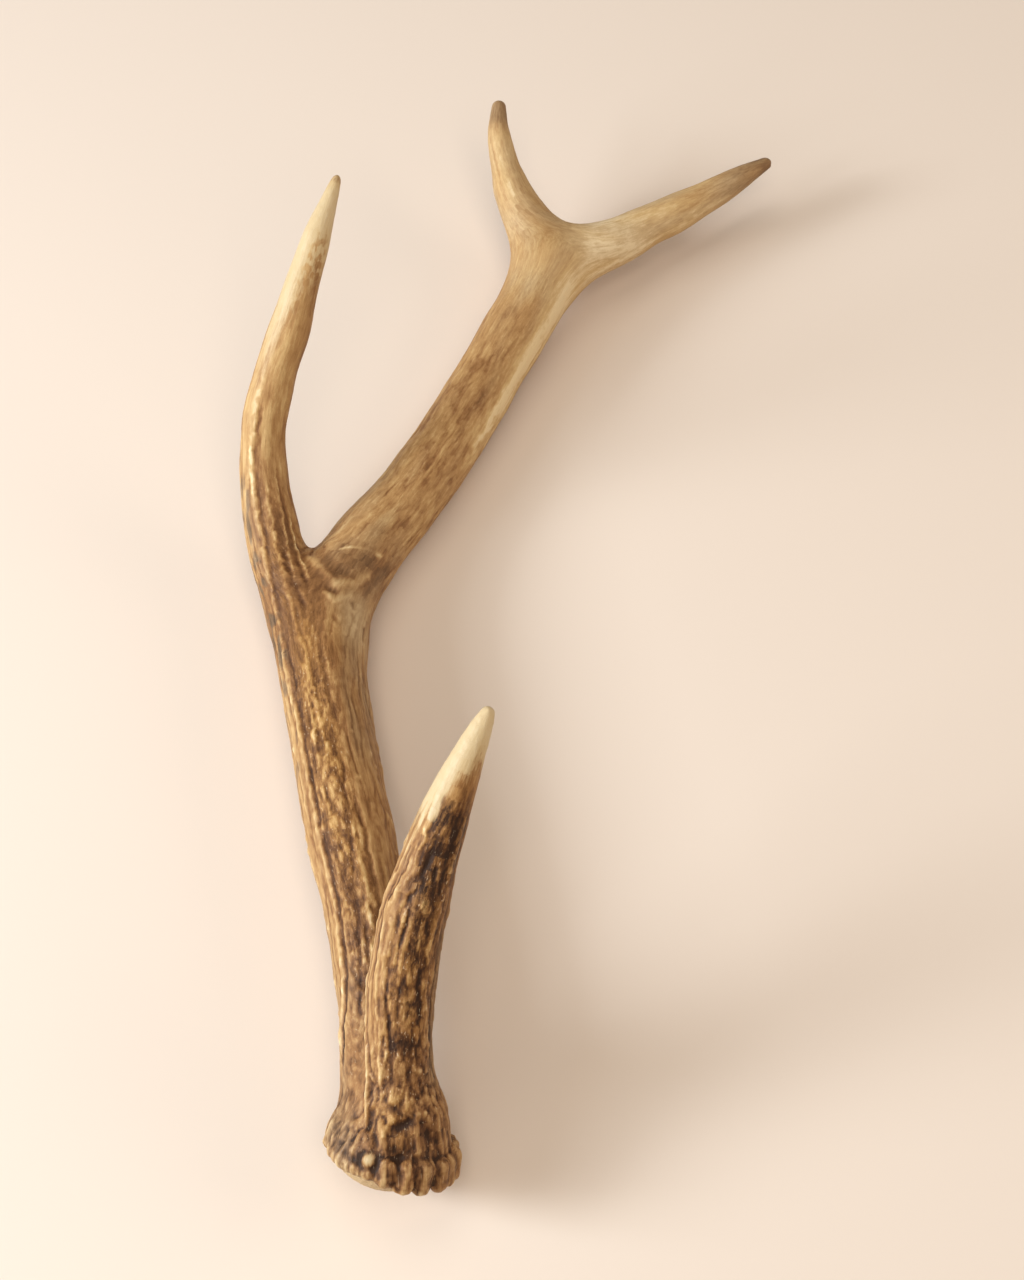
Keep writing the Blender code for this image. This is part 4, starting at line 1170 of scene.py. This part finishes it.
class Finish:
    """One material, and the one way its nodes are made."""

    def __init__(self, name):
        self.material = bpy.data.materials.new(name)
        self.material.use_nodes = True
        self.tree = self.material.node_tree
        self.shader = self.tree.nodes["Principled BSDF"]

    def node(self, kind, settings=None, sockets=None, output=0):
        """Make a node: settings first, then socket values or links."""
        made = self.tree.nodes.new(kind)
        for key, value in (settings or {}).items():
            setattr(made, key, value)
        for key, value in (sockets or {}).items():
            self.feed(made.inputs[key], value)
        return Wire(self, made.outputs[output])

    def feed(self, socket, value):
        """Give a socket a value or a link."""
        if isinstance(value, Wire):
            self.tree.links.new(value.socket, socket)
        elif isinstance(value, tuple) and len(value) == 3 and socket.type == "RGBA":
            socket.default_value = (*value, 1.0)
        else:
            socket.default_value = value

    def mask(self, name):
        """A number that the skin carries."""
        return self.node("ShaderNodeAttribute", {"attribute_name": name}, output="Fac")

    def mix(self, share, first, second):
        """Blend of two colours."""
        return self.node("ShaderNodeMix", {"data_type": "RGBA"},
                         {"Factor": share, 6: first, 7: second}, output=2)

    def shade(self, value, stops):
        """Colour read off a row of stops, each a place and a colour."""
        shaded = self.node("ShaderNodeValToRGB", {}, {"Fac": value})
        elements = shaded.socket.node.color_ramp.elements
        while len(elements) < len(stops):
            elements.new(0.5)
        for element, (place, colour) in zip(elements, stops):
            element.position = place
            element.color = (*colour, 1.0)
        return shaded

    def noise(self, vector, stretch, scale, detail, roughness):
        """Fine noise from -0.5 to 0.5, stretched where the stretch is less than one."""
        place = self.node("ShaderNodeVectorMath", {"operation": "MULTIPLY"}, {0: vector, 1: stretch})
        sockets = {"Vector": place, "Scale": scale, "Detail": detail, "Roughness": roughness}
        return self.node("ShaderNodeTexNoise", {}, sockets) - 0.5

    def clamp_range(self, value, low, high):
        """Nought at low, one at high."""
        return self.node("ShaderNodeMapRange", {"clamp": True, "interpolation_type": "SMOOTHSTEP"},
                         {"Value": value, "From Min": low, "From Max": high})


print("methods of a finish:", ", ".join(name for name in vars(Finish) if name[0] != "_"))

# %% [markdown]
# ## The finish of antler
# From the grooves up: nearly black brown, brown, ochre, tan, and worn straw on the crests.
# Noise along the grain breaks the bands up. Over that lie gold patches, soot (which also paints
# shade into the deepest hollows), a few tiny painted highlights standing in for glints, and the
# ivory of the points. Crests are polished, so they are less rough than the grooves.

# %% Antler finish
WARM_BONE = [
    (0.00, (0.036, 0.014, 0.005)), (0.22, (0.114, 0.046, 0.016)), (0.45, (0.282, 0.133, 0.047)),
    (0.66, (0.450, 0.255, 0.100)), (0.84, (0.600, 0.395, 0.175)), (1.00, (0.760, 0.580, 0.330)),
]
GREY_BONE = [
    (0.00, (0.032, 0.018, 0.010)), (0.22, (0.100, 0.058, 0.029)), (0.45, (0.235, 0.143, 0.072)),
    (0.66, (0.395, 0.260, 0.135)), (0.84, (0.560, 0.400, 0.225)), (1.00, (0.760, 0.600, 0.380)),
]
GOLD_BONE = [
    (0.00, (0.035, 0.014, 0.006)), (0.22, (0.125, 0.050, 0.015)), (0.45, (0.320, 0.150, 0.043)),
    (0.66, (0.510, 0.285, 0.097)), (0.84, (0.650, 0.415, 0.168)), (1.00, (0.780, 0.590, 0.320)),
]
IVORY_BONE = [
    (0.00, (0.240, 0.125, 0.052)), (0.35, (0.500, 0.315, 0.140)), (0.65, (0.585, 0.425, 0.225)),
    (1.00, (0.640, 0.505, 0.310)),
]
# black of soot, also used as painted shade in the deepest hollows
SOOT_AND_SHADE_BLACK = (0.034, 0.015, 0.007)
# colour of the tiny glints, a highlight painted into the surface
PAINTED_GLINT = (0.760, 0.610, 0.400)
SEAL_PALE = (0.700, 0.500, 0.270)
SEAL_DARK = (0.460, 0.300, 0.145)
LONG_GRAIN = (1.0, 1.0, 0.10)    # how fast the noise runs across, across and along
SHORT_GRAIN = (1.0, 1.0, 0.40)
GRAIN_DEPTH = 0.0006             # metres
SHEEN = 0.20


def antler_finish(name):
    """Material of one piece of antler."""
    f = Finish(name)
    grain_of = f.node("ShaderNodeAttribute", {"attribute_name": "grain"}, output="Vector")
    crest_of = f.mask("crest")
    grainy_of = f.mask("grainy")
    fibre = f.noise(grain_of, LONG_GRAIN, 1.3, 3.0, 0.6)
    speck = f.noise(grain_of, SHORT_GRAIN, 1.1, 4.0, 0.7)
    ivory_edge = f.mask("ivory")
    ivory_of = f.clamp_range(ivory_edge + fibre * 0.8 + speck * 0.3, 0.2, 0.8)
    tone = f.mask("tone") + fibre * 0.34 + speck * (0.24 + grainy_of * 0.40)
    greyness = f.mask("grey")
    bone = f.mix(f.clamp_range(greyness, 0.0, 1.0), f.shade(tone, WARM_BONE), f.shade(tone, GREY_BONE))
    bone = f.mix(f.clamp_range(greyness, 0.0, -1.0), bone, f.shade(tone, GOLD_BONE))
    # soot, with painted shade in the deepest hollows
    bone = f.mix(f.mask("soot_and_shade") * f.clamp_range(speck, 0.14, -0.12), bone, SOOT_AND_SHADE_BLACK)
    # painted highlight: pale specks painted into the colour where the bone is grainy, standing in for
    # glints
    painted_glints = f.clamp_range(speck, 0.11, 0.18) * grainy_of * 0.50
    bone = f.mix(painted_glints, bone, PAINTED_GLINT)
    worn_tone = 0.15 + ivory_edge * 0.65 + fibre * 0.4 + speck * 0.3
    bone = f.mix(ivory_of, bone, f.shade(worn_tone, IVORY_BONE))
    seal = f.mix(f.clamp_range(speck, -0.15, 0.15), SEAL_DARK, SEAL_PALE)
    bone = f.mix(f.mask("seal"), bone, seal)
    f.feed(f.shader.inputs["Base Color"], bone)
    gloss = 0.60 - f.clamp_range(crest_of, -0.4, 0.8) * 0.20 - ivory_of * 0.16 + speck * 0.3
    f.feed(f.shader.inputs["Roughness"], gloss)
    texture = fibre * 0.6 + speck * (0.5 + grainy_of)
    bump = f.node("ShaderNodeBump", {}, {"Strength": 0.5, "Distance": GRAIN_DEPTH, "Height": texture})
    f.feed(f.shader.inputs["Normal"], bump)
    f.shader.inputs["Specular IOR Level"].default_value = SHEEN
    return f.material


for name, piece in pieces.items():
    piece.data.materials.append(antler_finish(name + "_antler"))
print("finished", len(pieces), "pieces")

# %% [markdown]
# ## Floor
# A plain pale tabletop, matt as paper. One big face is enough.

# %% Floor
FLOOR_HALF = 2.5                 # metres
FLOOR_COLOUR = (0.80, 0.685, 0.585, 1.0)
table = bpy.data.meshes.new("floor")
table.from_pydata([(-FLOOR_HALF, -FLOOR_HALF, 0), (FLOOR_HALF, -FLOOR_HALF, 0),
                   (FLOOR_HALF, FLOOR_HALF, 0), (-FLOOR_HALF, FLOOR_HALF, 0)], [], [(0, 1, 2, 3)])
floor = add_object("floor", table)
paper = Finish("pale_table")
paper.shader.inputs["Base Color"].default_value = FLOOR_COLOUR
paper.shader.inputs["Roughness"].default_value = 0.9
paper.shader.inputs["Specular IOR Level"].default_value = 0.1
table.materials.append(paper.material)
print("floor is", 2 * FLOOR_HALF, "m wide")

# %% [markdown]
# ## Light
# Daylight falls in low from the left: a far window lamp throws the long soft shadow to the
# right, and a nearer, weaker one softens its edge. Three broad, slightly warm lamps, from the
# front, the right and the ceiling, stand for the light that a room sends back, and a weak
# glow fills what is left. All of them are squares that face the antler.

# %% Lights
WINDOW_LIGHT = (0.985, 1.08, 1.17)
ROOM_LIGHT = (1.0, 0.90, 0.785)
LAMPS = {
    # name: where it hangs and its size in metres, power in watts, colour
    "window": ((-2.42, -0.26, 1.06), 0.70, 45.0, WINDOW_LIGHT),
    "near_window": ((-1.14, -0.34, 0.65), 0.55, 9.0, WINDOW_LIGHT),
    "front_fill": ((0.12, -0.95, 1.99), 1.20, 17.0, ROOM_LIGHT),
    "right_fill": ((1.94, -0.05, 0.93), 1.20, 12.0, ROOM_LIGHT),
    "ceiling": ((-0.35, 0.50, 2.10), 1.20, 8.5, ROOM_LIGHT),
}
for name, (place, wide_side, power, colour) in LAMPS.items():
    lamp_data = bpy.data.lights.new(name, "AREA")
    lamp_data.shape = "SQUARE"
    lamp_data.size = wide_side
    lamp_data.energy = power
    lamp_data.color = colour
    lamp = add_object(name, lamp_data)
    lamp.location = place
    lamp.rotation_euler = Vector(place).to_track_quat("Z", "Y").to_euler()
    print(name, "at", place)

# %% Glow
GLOW = 0.15
world = bpy.data.worlds.new("glow")
bpy.context.scene.world = world
world.use_nodes = True
background = world.node_tree.nodes["Background"]
background.inputs["Color"].default_value = (*ROOM_LIGHT, 1.0)
background.inputs["Strength"].default_value = GLOW
print("glow of", GLOW)

# %% [markdown]
# ## Sizes
# The dressed antler must fill the same box as the solids.

# %% Sizes
bpy.context.view_layer.update()
